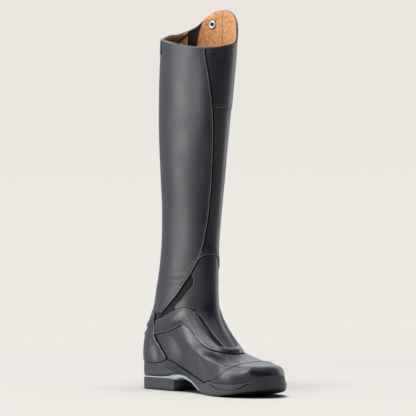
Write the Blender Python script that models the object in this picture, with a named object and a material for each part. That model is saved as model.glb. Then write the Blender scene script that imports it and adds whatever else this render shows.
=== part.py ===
# Tall riding boot for the left foot: a hollow leather upper on a cupped sole, with the panels that stand proud.
# Tables are in millimetres with the heel's back at x 0, the toe towards +x, the outer side at +y and up at +z.
import math

import bmesh
import bpy
from mathutils import Matrix, Vector

MM = 0.001
SOLE_LENGTH = 276
WALL = 2.2
CLEARANCE = 0.3
PANEL_LIFT = 0.5
PANEL_THICKNESS = 1.2
COUNTER_THICKNESS = 1.5
INSOLE_THICKNESS = 3.5
TURNS = 36
HALVINGS = 24
MERGE = 0.00001

# The upper is a stack of closed courses from the feather line to the rim.
# front x, front z, back x, back z, inner half width, outer half width, toe shape, heel shape, keenness, sag
COURSES = (
    (268.0, 19.0, 5.0, 25.0, 42.0, 43.5, 1.00, 1.00, 0.10, 1.00),
    (270.5, 25.0, 2.5, 33.0, 44.5, 46.0, 1.00, 1.00, 0.10, 0.92),
    (270.0, 32.0, 1.0, 43.0, 45.0, 46.0, 1.00, 1.00, 0.10, 0.80),
    (266.0, 38.5, 0.3, 53.0, 44.0, 44.5, 0.93, 0.98, 0.10, 0.66),
    (256.0, 42.5, 0.6, 63.0, 42.0, 42.5, 0.78, 0.94, 0.14, 0.52),
    (238.0, 44.2, 2.4, 73.0, 39.8, 40.5, 0.50, 0.88, 0.20, 0.40),
    (216.0, 46.2, 5.8, 83.0, 37.5, 38.5, 0.28, 0.80, 0.26, 0.30),
    (197.5, 51.0, 10.5, 93.0, 35.7, 36.7, 0.12, 0.68, 0.30, 0.22),
    (180.5, 61.0, 16.5, 103.0, 34.0, 35.0, 0.04, 0.50, 0.32, 0.15),
    (164.5, 73.5, 22.3, 113.0, 32.7, 33.7, 0.00, 0.33, 0.32, 0.09),
    (150.5, 87.5, 26.0, 124.0, 31.6, 32.5, 0.00, 0.20, 0.30, 0.05),
    (141.0, 103.0, 28.3, 137.0, 30.6, 31.5, 0.00, 0.11, 0.26, 0.02),
    (136.3, 122.0, 30.8, 152.0, 29.7, 30.5, 0.00, 0.06, 0.20, 0.00),
    (134.5, 147.0, 32.3, 170.0, 29.0, 29.7, 0.00, 0.03, 0.15, 0.00),
    (134.0, 177.0, 33.0, 190.0, 28.7, 29.2, 0.00, 0.02, 0.12, 0.00),
    (134.0, 205.0, 33.0, 212.0, 28.8, 29.2, 0.00, 0.00, 0.10, 0.00),
    (136.0, 240.0, 31.2, 243.0, 29.8, 30.0, 0.00, 0.00, 0.10, 0.00),
    (139.0, 280.0, 27.0, 281.0, 32.0, 32.0, 0.00, 0.00, 0.10, 0.00),
    (141.5, 320.0, 22.5, 320.0, 34.5, 34.3, 0.00, 0.00, 0.10, 0.00),
    (144.0, 358.0, 19.5, 358.0, 36.5, 36.0, 0.00, 0.00, 0.10, 0.00),
    (146.5, 395.0, 18.5, 395.0, 38.0, 37.4, 0.00, 0.00, 0.10, 0.00),
    (149.0, 425.0, 19.0, 425.0, 39.5, 39.0, 0.00, 0.00, 0.10, 0.00),
    (150.5, 450.0, 20.5, 450.0, 40.5, 40.3, 0.00, 0.00, 0.10, 0.00),
)
LAST = len(COURSES) - 1
RIM_START = 20
FINE_COURSES = 12
CUP_COURSES = 5
TOE_TO_HEEL = (0.2, 0.6)
LEAN_START = 150
LEAN = 0.05

# turn (0 at the shin, 1 at the back; the inner side is negative), rim height
RIM = (
    (-1.0, 471.0), (-0.855, 465.5), (-0.585, 460.0), (-0.43, 454.5), (-0.3, 451.0), (-0.18, 450.3),
    (0.0, 454.0), (0.1, 457.5), (0.2, 468.0), (0.3, 488.0), (0.4, 499.5), (0.5, 505.5),
    (0.57, 506.0), (0.68, 499.0), (0.78, 485.0), (0.87, 477.5), (1.0, 471.0),
)
# share of the length from the heel, inner half width, outer half width of the sole
PLAN = (
    (0.00, 33.0, 33.0), (0.13, 33.0, 33.0), (0.30, 30.5, 33.5), (0.42, 27.5, 36.0), (0.55, 33.0, 42.0),
    (0.68, 44.0, 47.5), (0.76, 46.5, 47.0), (0.86, 45.0, 42.0), (1.00, 40.0, 33.0),
)
BALL_INNER = 46.5
BALL_OUTER = 47.5
HEEL_ROUND = 0.12
TOE_ROUND = 0.80
TOE_SQUARE = 2.2

# distance from the heel's back, height
FEATHER = (
    (0, 26.0), (60, 27.0), (85, 27.2), (100, 26.2), (120, 21.5), (142, 14.5), (165, 10.2), (200, 9.0),
    (235, 10.0), (255, 13.5), (270, 18.5),
)
CUP_EDGE = (
    (0, 38.0), (15, 37.0), (40, 35.0), (60, 36.7), (78, 40.6), (90, 38.4), (107, 32.0), (131, 24.2),
    (158, 17.2), (169, 15.0), (190, 18.8), (205, 17.4), (231, 17.0), (247, 17.6), (257, 20.3), (267, 26.3), (276, 29.2),
)
SOLE_FLOOR = (
    (0, 18.0), (57, 18.3), (76, 20.0), (88, 22.1), (97, 22.8), (107, 22.0), (120, 18.2), (134, 12.4), (146, 6.8),
    (151.6, 4.8), (152.2, 1.6), (160, 0.4), (168, 0.0), (204, 0.0), (220, 1.7),
    (235, 4.0), (255, 8.0), (270, 11.5), (276, 14.0),
)
PLATE_FLOOR = (
    (0, 15.7), (60, 16.0), (85, 15.1), (90, 14.5), (105, 18.2), (112, 16.6), (120, 14.8), (132, 10.0),
    (143, 5.4), (151.6, 1.8),
)
HEEL_BACK = 0.2
HEEL_BREAST = 89
PLATE_BACK = 0.4
PLATE_END = 151.2
SOLE_STEPS = (151.6, 152.2)
STATION_STEP = 6.5
STATION_GAP = 1.0
ROUND_STEPS = 6
RIM_WALL = 1.7
BRIM_SETBACK = 0.5
BRIM_ROUND = 1.4
SOLE_EDGE_ROUND = 3.0
SOLE_THINNEST = 0.2
# the lip along each side of the forefoot: distance from the heel's back, height
LIP = ((194, 15.0), (203, 11.8), (213, 9.8), (226, 9.2), (239, 9.8), (250, 12.4), (259, 18.0))
LIP_DEPTH = 1.0
LIP_STEP = 0.7

# course, turn of the edge
CALF_EDGE = (
    (8.1, -0.665), (10.7, -0.515), (12.5, -0.365), (13.4, -0.265), (14.2, -0.180), (15.1, -0.138),
    (15.8, -0.115), (17.0, -0.105), (18.0, -0.112), (19.0, -0.130), (20.4, -0.185), (22.0, -0.242),
)
CALF_BACK = -0.965
CALF_TOP = 21.97
CALF_GAP = 0.25
# distance in turn from the shin, course
SADDLE_LOW = (
    (0.00, 7.45), (0.18, 7.44), (0.30, 7.55), (0.33, 7.9), (0.37, 8.88), (0.41, 9.04), (0.53, 7.92),
    (0.66, 6.16), (0.73, 5.4),
)
SADDLE_HIGH = (
    (0.00, 7.95), (0.115, 8.05), (0.18, 8.66), (0.21, 9.15), (0.25, 10.1), (0.31, 10.75), (0.37, 10.8),
    (0.53, 9.45), (0.60, 8.75), (0.66, 8.15), (0.73, 7.6),
)
SADDLE_REACH = 0.71
CAP_SEAM = ((0.00, 5.8), (0.10, 5.5), (0.20, 4.6), (0.28, 3.4), (0.34, 2.3), (0.385, 1.6))
CAP_CENTRE = 0.03
CAP_REACH = 0.37
CAP_LEAST = 0.15
# course, distance in turn from the shin
COUNTER_FRONT = ((1.0, 0.645), (2.0, 0.645), (3.3, 0.68), (4.7, 0.71), (6.3, 0.728), (8.4, 0.745))
COUNTER_TOP = 8.2
PANEL_CLEAR_OF_CUP = 1.2
# rows and columns of each panel's grid
GRIDS = {
    "heel_counter": (10, 18),
    "toe_cap": (8, 22),
    "ankle_saddle": (3, 34),
    "calf_panel": (22, 14),
}

SPUR_COURSES = (6.6, 5.3)
SPUR_REACH = 0.21
SPUR_DEPTH = 2.3
SPUR_HEIGHT = 0.8
SPUR_STEPS = 16
SPUR_FADE = 0.75
SPUR_FADE_POWER = 3
# share of half the ledge's height, share of its depth
SPUR_SECTION = ((-1.0, 0.0), (-1.0, 0.9), (-0.8, 1.0), (1.0, 0.15), (1.0, 0.0))
# radius, height from the snap's seat
SNAP_PROFILE = (
    (0.0, 0.0), (6.0, 0.0), (6.0, 0.6), (5.2, 1.5), (3.8, 1.7), (2.7, 1.3), (2.7, 0.5), (0.0, 0.5),
)
SNAP_SIDES = 16
SNAP_COURSE = 21.6
SNAP_TURN = 0.62
SNAP_STAND = 0.75

TREAD_GROOVES = (174, 188, 202, 216, 230, 244, 258)
HEEL_GROOVES = (26, 44, 62)
GROOVE_WIDTH = 3.0
GROOVE_DEPTH = 2.2
GROOVE_MARGIN = 7.0
GROOVE_CUTTER = 9.0

# base colour, roughness, metallic
LOOKS = {
    "black_leather": ((0.020, 0.020, 0.022), 0.42, 0.0),
    "counter_leather": ((0.024, 0.024, 0.026), 0.38, 0.0),
    "sole_rubber": ((0.055, 0.056, 0.060), 0.62, 0.0),
    "heel_rubber": ((0.050, 0.051, 0.055), 0.64, 0.0),
    "arch_nylon": ((0.42, 0.47, 0.54), 0.40, 0.0),
    "insole_leather": ((0.52, 0.27, 0.11), 0.60, 0.0),
    "spur_rubber": ((0.060, 0.060, 0.064), 0.55, 0.0),
    "snap_metal": ((0.72, 0.72, 0.74), 0.25, 1.0),
}


def ease(share):
    share = min(max(share, 0.0), 1.0)
    return share * share * (3 - 2 * share)


def between_courses(column, course):
    course = min(max(course, 0.0), LAST)
    row = min(int(course), LAST - 1)
    part = course - row
    here = COURSES[row][column]
    there = COURSES[row + 1][column]
    before = COURSES[row - 1][column] if row > 0 else 2 * here - there
    after = COURSES[row + 2][column] if row + 2 <= LAST else 2 * there - here
    straight = (there - before) * part
    bend = (2 * before - 5 * here + 4 * there - after) * part ** 2
    twist = (3 * here - before - 3 * there + after) * part ** 3
    return here + 0.5 * (straight + bend + twist)


def along(table, key, column=1):
    # a smooth curve through the rows of a table, flat at both ends
    if key <= table[0][0]:
        return table[0][column]
    if key >= table[-1][0]:
        return table[-1][column]
    row = max(index for index in range(len(table) - 1) if table[index][0] <= key)
    step = table[row + 1][0] - table[row][0]
    part = (key - table[row][0]) / step
    here = table[row][column]
    there = table[row + 1][column]
    return (
        here * (1 + 2 * part) * (1 - part) ** 2
        + there * part ** 2 * (3 - 2 * part)
        + step * part * (1 - part) ** 2 * slope(table, row, column)
        - step * part ** 2 * (1 - part) * slope(table, row + 1, column)
    )


def slope(table, row, column):
    if row in (0, len(table) - 1):
        return 0.0
    before, here, after = table[row - 1], table[row], table[row + 1]
    left = (here[column] - before[column]) / (here[0] - before[0])
    right = (after[column] - here[column]) / (after[0] - here[0])
    if left * right <= 0:
        return 0.0
    return 2 * left * right / (left + right)


def plan(share, inner):
    # half width of the sole's outline on one side
    width = along(PLAN, share, 1 if inner else 2)
    if share < HEEL_ROUND:
        width *= math.sqrt(max(0.0, 1 - ((HEEL_ROUND - share) / HEEL_ROUND) ** 2))
    if share > TOE_ROUND:
        reach = min(1.0, (share - TOE_ROUND) / (1 - TOE_ROUND))
        width *= (1 - reach ** TOE_SQUARE) ** (1 / TOE_SQUARE)
    return width


def boot(course, turn):
    # a point on the outside of the upper
    front_x, front_z, back_x, back_z, inner_width, outer_width, toe, heel, keen, sag = (
        between_courses(column, course) for column in range(len(COURSES[0]))
    )
    inner = turn < 0
    angle = abs(turn) * math.pi
    share = (1 - math.cos(angle)) / 2
    foot = toe + (heel - toe) * ease((share - TOE_TO_HEEL[0]) / (TOE_TO_HEEL[1] - TOE_TO_HEEL[0]))
    foot = min(max(foot, 0.0), 1.0)
    ball = BALL_INNER if inner else BALL_OUTER
    leg_width = math.sin(angle) * (1 - keen * math.cos(angle))
    width = foot * plan(1 - share, inner) / ball + (1 - foot) * leg_width
    width *= inner_width if inner else outer_width
    x = front_x + (back_x - front_x) * share
    z = front_z + (back_z - front_z) * share
    if sag > 0:
        chord = COURSES[0][1] + (COURSES[0][3] - COURSES[0][1]) * share
        z += sag * (along(FEATHER, x) - chord)
    if course > RIM_START:
        rise = along(RIM, turn) - COURSES[LAST][1]
        z += rise * ease((course - RIM_START) / (LAST - RIM_START))
    y = -width if inner else width
    y += max(0.0, z - LEAN_START) * LEAN
    return Vector((x, y, z))


def outward(course, turn, step=0.002):
    low = max(0.0, course - step)
    high = min(LAST, course + step)
    around = boot(course, wrap(turn + step)) - boot(course, wrap(turn - step))
    up = boot(high, turn) - boot(low, turn)
    return around.cross(up).normalized()


def wrap(turn):
    return (turn + 1) % 2 - 1 if abs(turn) > 1 else turn


def lifted(course, turn, lift):
    return boot(course, turn) + outward(course, turn) * lift


def midway(course, turn, lift):
    # the point between the two sides of a course, which closes a form from either side
    inner = lifted(course, -abs(turn), lift)
    outer = lifted(course, abs(turn), lift)
    return Vector(((inner.x + outer.x) / 2, 0, (inner.z + outer.z) / 2))


def cup_course(turn, margin):
    # the course at which a turn of the upper comes out of the sole's cup
    low, high = 0.0, CUP_COURSES + 1
    for _ in range(HALVINGS):
        middle = (low + high) / 2
        point = boot(middle, turn)
        if point.z < along(CUP_EDGE, point.x) + margin:
            low = middle
        else:
            high = middle
    return high


def foot_width(x, height, inner):
    # half width of the upper at one distance from the heel and one height
    low, high = 0.0, CUP_COURSES + 1
    width = 0.0
    for _ in range(HALVINGS):
        course = (low + high) / 2
        front = between_courses(0, course)
        back = between_courses(2, course)
        share = min(max((front - x) / (front - back), 0.0), 1.0)
        turn = math.acos(1 - 2 * share) / math.pi
        point = boot(course, -turn if inner else turn)
        width = abs(point.y)
        if point.z < height:
            low = course
        else:
            high = course
    return width


def look(name):
    colour, roughness, metallic = LOOKS[name]
    material = bpy.data.materials.new(name)
    material.use_nodes = True
    shader = material.node_tree.nodes["Principled BSDF"]
    shader.inputs["Base Color"].default_value = (*colour, 1)
    shader.inputs["Roughness"].default_value = roughness
    shader.inputs["Metallic"].default_value = metallic
    return material


def finish(name, shape, material=None):
    mesh = bpy.data.meshes.new(name)
    shape.to_mesh(mesh)
    shape.free()
    piece = bpy.data.objects.new(name, mesh)
    bpy.context.scene.collection.objects.link(piece)
    if material:
        mesh.materials.append(look(material))
    return piece


def sheet(rows, columns, place):
    # a grid laid on a surface: place(row, column) gives each corner in millimetres
    shape = bmesh.new()
    bmesh.ops.create_grid(shape, x_segments=columns, y_segments=rows, size=1)
    for vertex in shape.verts:
        column = round((vertex.co.x + 1) / 2 * columns)
        row = round((vertex.co.y + 1) / 2 * rows)
        vertex.co = place(row, column) * MM
    bmesh.ops.remove_doubles(shape, verts=shape.verts, dist=MERGE)
    bmesh.ops.dissolve_degenerate(shape, edges=shape.edges, dist=MERGE)
    return shape


def close(shape):
    edges = [edge for edge in shape.edges if edge.is_boundary]
    bmesh.ops.holes_fill(shape, edges=edges, sides=0)
    bmesh.ops.recalc_face_normals(shape, faces=shape.faces)


def thicken(piece, thickness, offset):
    wall = piece.modifiers.new("wall", "SOLIDIFY")
    wall.thickness = thickness * MM
    wall.offset = offset
    wall.use_even_offset = True
    wall.use_quality_normals = True


def cut(piece, cutter):
    cutter.hide_render = True
    cutter.display_type = "WIRE"
    hole = piece.modifiers.new(cutter.name, "BOOLEAN")
    hole.operation = "DIFFERENCE"
    hole.solver = "EXACT"
    hole.object = cutter


def upper_courses():
    # close together on the foot and at the rim, wider apart on the leg
    foot = [step / 2 for step in range(2 * FINE_COURSES + 1)]
    leg = [float(step) for step in range(FINE_COURSES + 1, RIM_START + 1)]
    rim = [RIM_START + step / 2 for step in range(1, 2 * (LAST - RIM_START) + 1)]
    return foot + leg + rim


def build_upper():
    courses = upper_courses()

    def place(row, column):
        return boot(courses[row], 2 * column / TURNS - 1)

    piece = finish("upper", sheet(len(courses) - 1, TURNS, place), "black_leather")
    thicken(piece, WALL, -1)
    return piece


def foot_form(name, last, lift, floor):
    # a closed solid in the shape of the upper's lower courses, with its flat underside at the feather line
    steps = 2 * last

    def place(row, column):
        turn = 2 * column / TURNS - 1
        course = min(max(row - 1, 0), steps) / 2
        spot = midway if row in (0, steps + 2) else lifted
        point = spot(course, turn, lift)
        if course == 0:
            point.z = along(FEATHER, point.x) + floor
        return point

    shape = sheet(steps + 2, TURNS, place)
    close(shape)
    return finish(name, shape)


def build_insole():
    inset = -WALL - 2 * CLEARANCE

    def place(row, column):
        turn = 2 * column / TURNS - 1
        spot = midway if row in (0, 3) else lifted
        point = spot(0.0, turn, inset)
        thickness = 0.0 if row < 2 else INSOLE_THICKNESS
        point.z = along(FEATHER, point.x) + thickness
        return point

    shape = sheet(3, TURNS, place)
    close(shape)
    return finish("insole", shape, "insole_leather")


def stations(start, end):
    # distances from the heel: close together round the heel and the toe
    closing = [1 - math.cos(math.pi / 2 * step / ROUND_STEPS) for step in range(ROUND_STEPS + 1)]
    heel = [SOLE_LENGTH * HEEL_ROUND * share for share in closing]
    toe = [SOLE_LENGTH * (1 - (1 - TOE_ROUND) * share) for share in closing]
    count = int((toe[-1] - heel[-1]) / STATION_STEP)
    middle = [heel[-1] + STATION_STEP * step for step in range(1, count)]
    steps = [x for x in SOLE_STEPS if start < x < end - STATION_GAP]
    inside = [x for x in heel + middle + toe if start + STATION_GAP < x < end - STATION_GAP]
    clear = [x for x in inside if all(abs(x - other) > STATION_GAP for other in steps)]
    return sorted([start] + steps + clear + [end])


def lip_bulge(x):
    share = (x - LIP[0][0]) / (LIP[-1][0] - LIP[0][0])
    return LIP_DEPTH * math.sqrt(math.sin(math.pi * share)) if 0 < share < 1 else 0.0


def loft(name, start, end, floor, top, material, lipped=False):
    # a solid along the foot: each station is a ring of heights on the sole's outline
    places = stations(start, end)

    def ring(x):
        low = floor(x)
        high = max(top(x), low + SOLE_THINNEST)
        bevel = min(SOLE_EDGE_ROUND, (high - low) / 3)
        crown = min(BRIM_ROUND, (high - low) / 3)
        points = []
        for inner in (False, True):
            edge = plan(x / SOLE_LENGTH, inner)
            brim = edge
            if edge > 0:
                brim = max(edge - BRIM_SETBACK, foot_width(x, high, inner) + RIM_WALL)
            bulge = lip_bulge(x) if lipped else 0.0
            side = [(max(0.0, edge - bevel), low), (edge + bulge, low + bevel)]
            if lipped:
                lip = along(LIP, x) if bulge else (low + high) / 2
                share = (lip - low - bevel) / (high - low - bevel - crown)
                side += [(edge + bulge, lip), (edge + (brim - edge) * share, lip + LIP_STEP)]
            side += [(brim, high - crown), (max(0.0, brim - crown / 2), high)]
            points += [(-width, z) for width, z in reversed(side)] if inner else side
        return points

    rings = [ring(x) for x in places]
    count = len(rings[0])

    def place(row, column):
        y, z = rings[row][column % count]
        return Vector((places[row], y, z))

    shape = sheet(len(places) - 1, count, place)
    close(shape)
    return finish(name, shape, material)


def grooves(name, distances, floor):
    # straight grooves across the tread that stop short of its edge
    shape = bmesh.new()
    for x in distances:
        inner = GROOVE_MARGIN - plan(x / SOLE_LENGTH, True)
        outer = plan(x / SOLE_LENGTH, False) - GROOVE_MARGIN
        centre = Vector((x, (inner + outer) / 2, floor(x) + GROOVE_DEPTH - GROOVE_CUTTER / 2))
        size = Matrix.Diagonal((GROOVE_WIDTH, outer - inner, GROOVE_CUTTER, 1))
        bmesh.ops.create_cube(shape, size=MM, matrix=Matrix.Translation(centre * MM) @ size)
    return finish(name, shape)


def build_sole(form):
    def floor(x):
        return along(SOLE_FLOOR, x)

    def plate_top(x):
        return along(SOLE_FLOOR, x) - CLEARANCE

    def plate_floor(x):
        return along(PLATE_FLOOR, x)

    def heel_top(x):
        return along(PLATE_FLOOR, x) - CLEARANCE

    def cup_edge(x):
        return along(CUP_EDGE, x)

    def ground(x):
        return 0.0

    unit = loft("sole_unit", 0, SOLE_LENGTH, floor, cup_edge, "sole_rubber", True)
    cut(unit, form)
    cut(unit, grooves("tread_grooves", TREAD_GROOVES, floor))
    loft("arch_plate", PLATE_BACK, PLATE_END, plate_floor, plate_top, "arch_nylon")
    heel = loft("heel_block", HEEL_BACK, HEEL_BREAST, ground, heel_top, "heel_rubber")
    cut(heel, grooves("heel_grooves", HEEL_GROOVES, ground))


def panel(name, spot, thickness, material):
    # a skin on the upper: spot(up, across) gives the course and turn of each corner
    rows, columns = GRIDS[name]

    def place(row, column):
        course, turn = spot(row / rows, column / columns)
        return lifted(course, wrap(turn), PANEL_LIFT)

    piece = finish(name, sheet(rows, columns, place), material)
    thicken(piece, thickness, 1)
    return piece


def build_counter():
    def spot(up, across):
        side = 2 * across - 1
        low = cup_course(wrap(1 + side * (1 - COUNTER_FRONT[0][1])), PANEL_CLEAR_OF_CUP)
        course = low + (COUNTER_TOP - low) * up
        reach = 1 - along(COUNTER_FRONT, course)
        return course, 1 + side * reach

    panel("heel_counter", spot, COUNTER_THICKNESS, "counter_leather")


def build_toe_cap():
    def spot(up, across):
        offset = (2 * across - 1) * CAP_REACH
        turn = CAP_CENTRE + offset
        low = cup_course(turn, PANEL_CLEAR_OF_CUP)
        high = max(along(CAP_SEAM, abs(offset)), low + CAP_LEAST)
        return low + (high - low) * up, turn

    panel("toe_cap", spot, PANEL_THICKNESS, "counter_leather")


def build_saddle():
    def spot(up, across):
        turn = (2 * across - 1) * SADDLE_REACH
        low = along(SADDLE_LOW, abs(turn))
        high = along(SADDLE_HIGH, abs(turn))
        return low + (high - low) * up, turn

    panel("ankle_saddle", spot, PANEL_THICKNESS, "black_leather")


def build_calf_panel():
    low = COUNTER_TOP + CALF_GAP

    def spot(up, across):
        course = low + (CALF_TOP - low) * up
        edge = along(CALF_EDGE, course)
        return course, CALF_BACK + (edge - CALF_BACK) * across

    panel("calf_panel", spot, PANEL_THICKNESS, "black_leather")


def build_spur_rest(name, course):
    # a ledge round the back of the counter, shallower towards its ends
    seat = PANEL_LIFT + COUNTER_THICKNESS + CLEARANCE

    def place(row, column):
        side = 2 * row / SPUR_STEPS - 1
        depth = SPUR_DEPTH * (1 - SPUR_FADE * abs(side) ** SPUR_FADE_POWER)
        up, out = SPUR_SECTION[column % len(SPUR_SECTION)]
        return lifted(course + up * SPUR_HEIGHT / 2, wrap(1 + side * SPUR_REACH), seat + out * depth)

    shape = sheet(SPUR_STEPS, len(SPUR_SECTION), place)
    close(shape)
    finish(name, shape, "spur_rubber")


def build_snap():
    # a turned metal snap on the inside of the raised rim
    shape = bmesh.new()
    corners = [shape.verts.new((radius * MM, 0, height * MM)) for radius, height in SNAP_PROFILE]
    edges = [shape.edges.new(pair) for pair in zip(corners, corners[1:])]
    bmesh.ops.spin(
        shape,
        geom=corners + edges,
        cent=(0, 0, 0),
        axis=(0, 0, 1),
        angle=math.tau,
        steps=SNAP_SIDES,
        use_merge=True,
    )
    bmesh.ops.remove_doubles(shape, verts=shape.verts, dist=MERGE)
    close(shape)
    inward = -outward(SNAP_COURSE, SNAP_TURN)
    seat = lifted(SNAP_COURSE, SNAP_TURN, -WALL - SNAP_STAND)
    turned = inward.to_track_quat("Z", "Y").to_matrix().to_4x4()
    bmesh.ops.transform(shape, matrix=Matrix.Translation(seat * MM) @ turned, verts=shape.verts)
    finish("snap_socket", shape, "snap_metal")


def centre_on_floor():
    # the frame's origin is the middle of the box's underside
    bpy.context.view_layer.update()
    shapes = bpy.context.evaluated_depsgraph_get()
    corners = []
    for piece in bpy.data.objects:
        if not piece.hide_render:
            corners += [vertex.co.copy() for vertex in piece.evaluated_get(shapes).data.vertices]
    low = Vector([min(corner[axis] for corner in corners) for axis in range(3)])
    high = Vector([max(corner[axis] for corner in corners) for axis in range(3)])
    shift = Matrix.Translation((-(low.x + high.x) / 2, -(low.y + high.y) / 2, -low.z))
    for piece in bpy.data.objects:
        piece.data.transform(shift)


def main():
    for item in list(bpy.data.objects):
        bpy.data.objects.remove(item)
    build_upper()
    form = foot_form("cup_form", CUP_COURSES, CLEARANCE, -CLEARANCE)
    build_sole(form)
    build_insole()
    build_counter()
    build_toe_cap()
    build_saddle()
    build_calf_panel()
    for name, course in zip(("spur_rest_upper", "spur_rest_lower"), SPUR_COURSES):
        build_spur_rest(name, course)
    build_snap()
    centre_on_floor()


main()
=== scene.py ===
import math

import bmesh
import bpy
import numpy as np
from mathutils import Matrix, Vector


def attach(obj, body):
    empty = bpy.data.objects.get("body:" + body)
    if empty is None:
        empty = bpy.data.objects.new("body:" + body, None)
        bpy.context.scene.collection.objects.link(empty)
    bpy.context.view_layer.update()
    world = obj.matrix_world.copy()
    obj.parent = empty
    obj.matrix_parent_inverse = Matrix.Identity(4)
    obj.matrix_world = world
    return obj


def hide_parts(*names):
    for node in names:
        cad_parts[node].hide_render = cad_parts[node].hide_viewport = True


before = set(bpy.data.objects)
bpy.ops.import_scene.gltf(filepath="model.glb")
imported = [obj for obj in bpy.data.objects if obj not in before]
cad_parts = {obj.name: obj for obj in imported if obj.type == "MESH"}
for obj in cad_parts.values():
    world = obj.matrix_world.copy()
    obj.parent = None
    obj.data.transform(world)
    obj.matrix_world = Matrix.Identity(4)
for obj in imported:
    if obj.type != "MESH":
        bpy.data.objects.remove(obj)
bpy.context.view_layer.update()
mm = 0.001
tiny = 1e-9  # keeps a division off zero
heelBack = min(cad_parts["sole_unit"].data.vertices, key=lambda corner: corner.co.x).co
frameZero = np.array((heelBack.x, heelBack.y, 0.0))  # the tables start at the heel's back, on the floor
print("frame loaded")

# the boot's own form, in mm: toe towards +x, outer side +y
bootForm = {
    "soleLength": 276,
    "ballInner": 46.5,
    "ballOuter": 47.5,
    "heelRound": 0.12,
    "toeRound": 0.80,
    "toeSquare": 2.2,
    "rimStart": 20,
    "toeToHeel": (0.2, 0.6),
    "leanStart": 150,
    "lean": 0.05,
    # front x and z, back x and z, inner and outer half width, toe shape, heel shape, keenness, sag
    "courses": (
        (268.0, 19.0, 5.0, 25.0, 42.0, 43.5, 1.00, 1.00, 0.10, 1.00),
        (270.5, 25.0, 2.5, 33.0, 44.5, 46.0, 1.00, 1.00, 0.10, 0.92),
        (270.0, 32.0, 1.0, 43.0, 45.0, 46.0, 1.00, 1.00, 0.10, 0.80),
        (266.0, 38.5, 0.3, 53.0, 44.0, 44.5, 0.93, 0.98, 0.10, 0.66),
        (256.0, 42.5, 0.6, 63.0, 42.0, 42.5, 0.78, 0.94, 0.14, 0.52),
        (238.0, 44.2, 2.4, 73.0, 39.8, 40.5, 0.50, 0.88, 0.20, 0.40),
        (216.0, 46.2, 5.8, 83.0, 37.5, 38.5, 0.28, 0.80, 0.26, 0.30),
        (197.5, 51.0, 10.5, 93.0, 35.7, 36.7, 0.12, 0.68, 0.30, 0.22),
        (180.5, 61.0, 16.5, 103.0, 34.0, 35.0, 0.04, 0.50, 0.32, 0.15),
        (164.5, 73.5, 22.3, 113.0, 32.7, 33.7, 0.00, 0.33, 0.32, 0.09),
        (150.5, 87.5, 26.0, 124.0, 31.6, 32.5, 0.00, 0.20, 0.30, 0.05),
        (141.0, 103.0, 28.3, 137.0, 30.6, 31.5, 0.00, 0.11, 0.26, 0.02),
        (136.3, 122.0, 30.8, 152.0, 29.7, 30.5, 0.00, 0.06, 0.20, 0.00),
        (134.5, 147.0, 32.3, 170.0, 29.0, 29.7, 0.00, 0.03, 0.15, 0.00),
        (134.0, 177.0, 33.0, 190.0, 28.7, 29.2, 0.00, 0.02, 0.12, 0.00),
        (134.0, 205.0, 33.0, 212.0, 28.8, 29.2, 0.00, 0.00, 0.10, 0.00),
        (136.0, 240.0, 31.2, 243.0, 29.8, 30.0, 0.00, 0.00, 0.10, 0.00),
        (139.0, 280.0, 27.0, 281.0, 32.0, 32.0, 0.00, 0.00, 0.10, 0.00),
        (141.5, 320.0, 22.5, 320.0, 34.5, 34.3, 0.00, 0.00, 0.10, 0.00),
        (144.0, 358.0, 19.5, 358.0, 36.5, 36.0, 0.00, 0.00, 0.10, 0.00),
        (146.5, 395.0, 18.5, 395.0, 38.0, 37.4, 0.00, 0.00, 0.10, 0.00),
        (149.0, 425.0, 19.0, 425.0, 39.5, 39.0, 0.00, 0.00, 0.10, 0.00),
        (150.5, 450.0, 20.5, 450.0, 40.5, 40.3, 0.00, 0.00, 0.10, 0.00),
    ),
    # turn from the shin (0) to the back (1), inner side negative; rim height
    "rim": (
        (-1.0, 473.5), (-0.855, 469.0), (-0.585, 461.2), (-0.43, 455.7), (-0.3, 452.2), (-0.18, 451.5),
        (0.0, 455.0), (0.1, 458.0), (0.2, 468.0), (0.3, 488.0), (0.4, 499.5), (0.5, 504.8),
        (0.57, 505.2), (0.68, 498.8), (0.78, 485.0), (0.87, 478.5), (1.0, 473.5),
    ),
    # share of the length from the heel, inner and outer half width of the sole
    "plan": (
        (0.00, 33.0, 33.0), (0.13, 33.0, 33.0), (0.30, 30.5, 33.5), (0.42, 27.5, 36.0), (0.55, 33.0, 42.0),
        (0.68, 44.0, 47.5), (0.76, 46.5, 47.0), (0.86, 45.0, 42.0), (1.00, 40.0, 33.0),
    ),
    # distance from the heel's back, height of the seam between upper and sole
    "feather": (
        (0, 26.0), (60, 27.0), (85, 27.2), (100, 26.2), (120, 21.5), (142, 14.5), (165, 10.2), (200, 9.0),
        (235, 10.0), (255, 13.5), (270, 18.5),
    ),
}
courseRows = np.array(bootForm["courses"])
lastCourse = len(courseRows) - 1


def curve(table, key, column=1):  # smooth curve through a table's rows, flat at both ends
    rows = np.asarray(table, float)
    place, value = rows[:, 0], rows[:, column]
    step = np.diff(place)
    rise = np.diff(value) / step
    slope = np.zeros(len(place))
    before, after = rise[:-1], rise[1:]
    same = before * after > 0
    slope[1:-1][same] = 2 * before[same] * after[same] / (before[same] + after[same])
    key = np.clip(key, place[0], place[-1])
    row = np.clip(np.searchsorted(place, key, side="right") - 1, 0, len(step) - 1)
    part = (key - place[row]) / step[row]
    ends = value[row] * (1 + 2 * part) * (1 - part) ** 2 + value[row + 1] * part ** 2 * (3 - 2 * part)
    return ends + step[row] * part * (1 - part) * ((1 - part) * slope[row] - part * slope[row + 1])


def ease(share):
    share = np.clip(share, 0, 1)
    return share * share * (3 - 2 * share)


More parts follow.
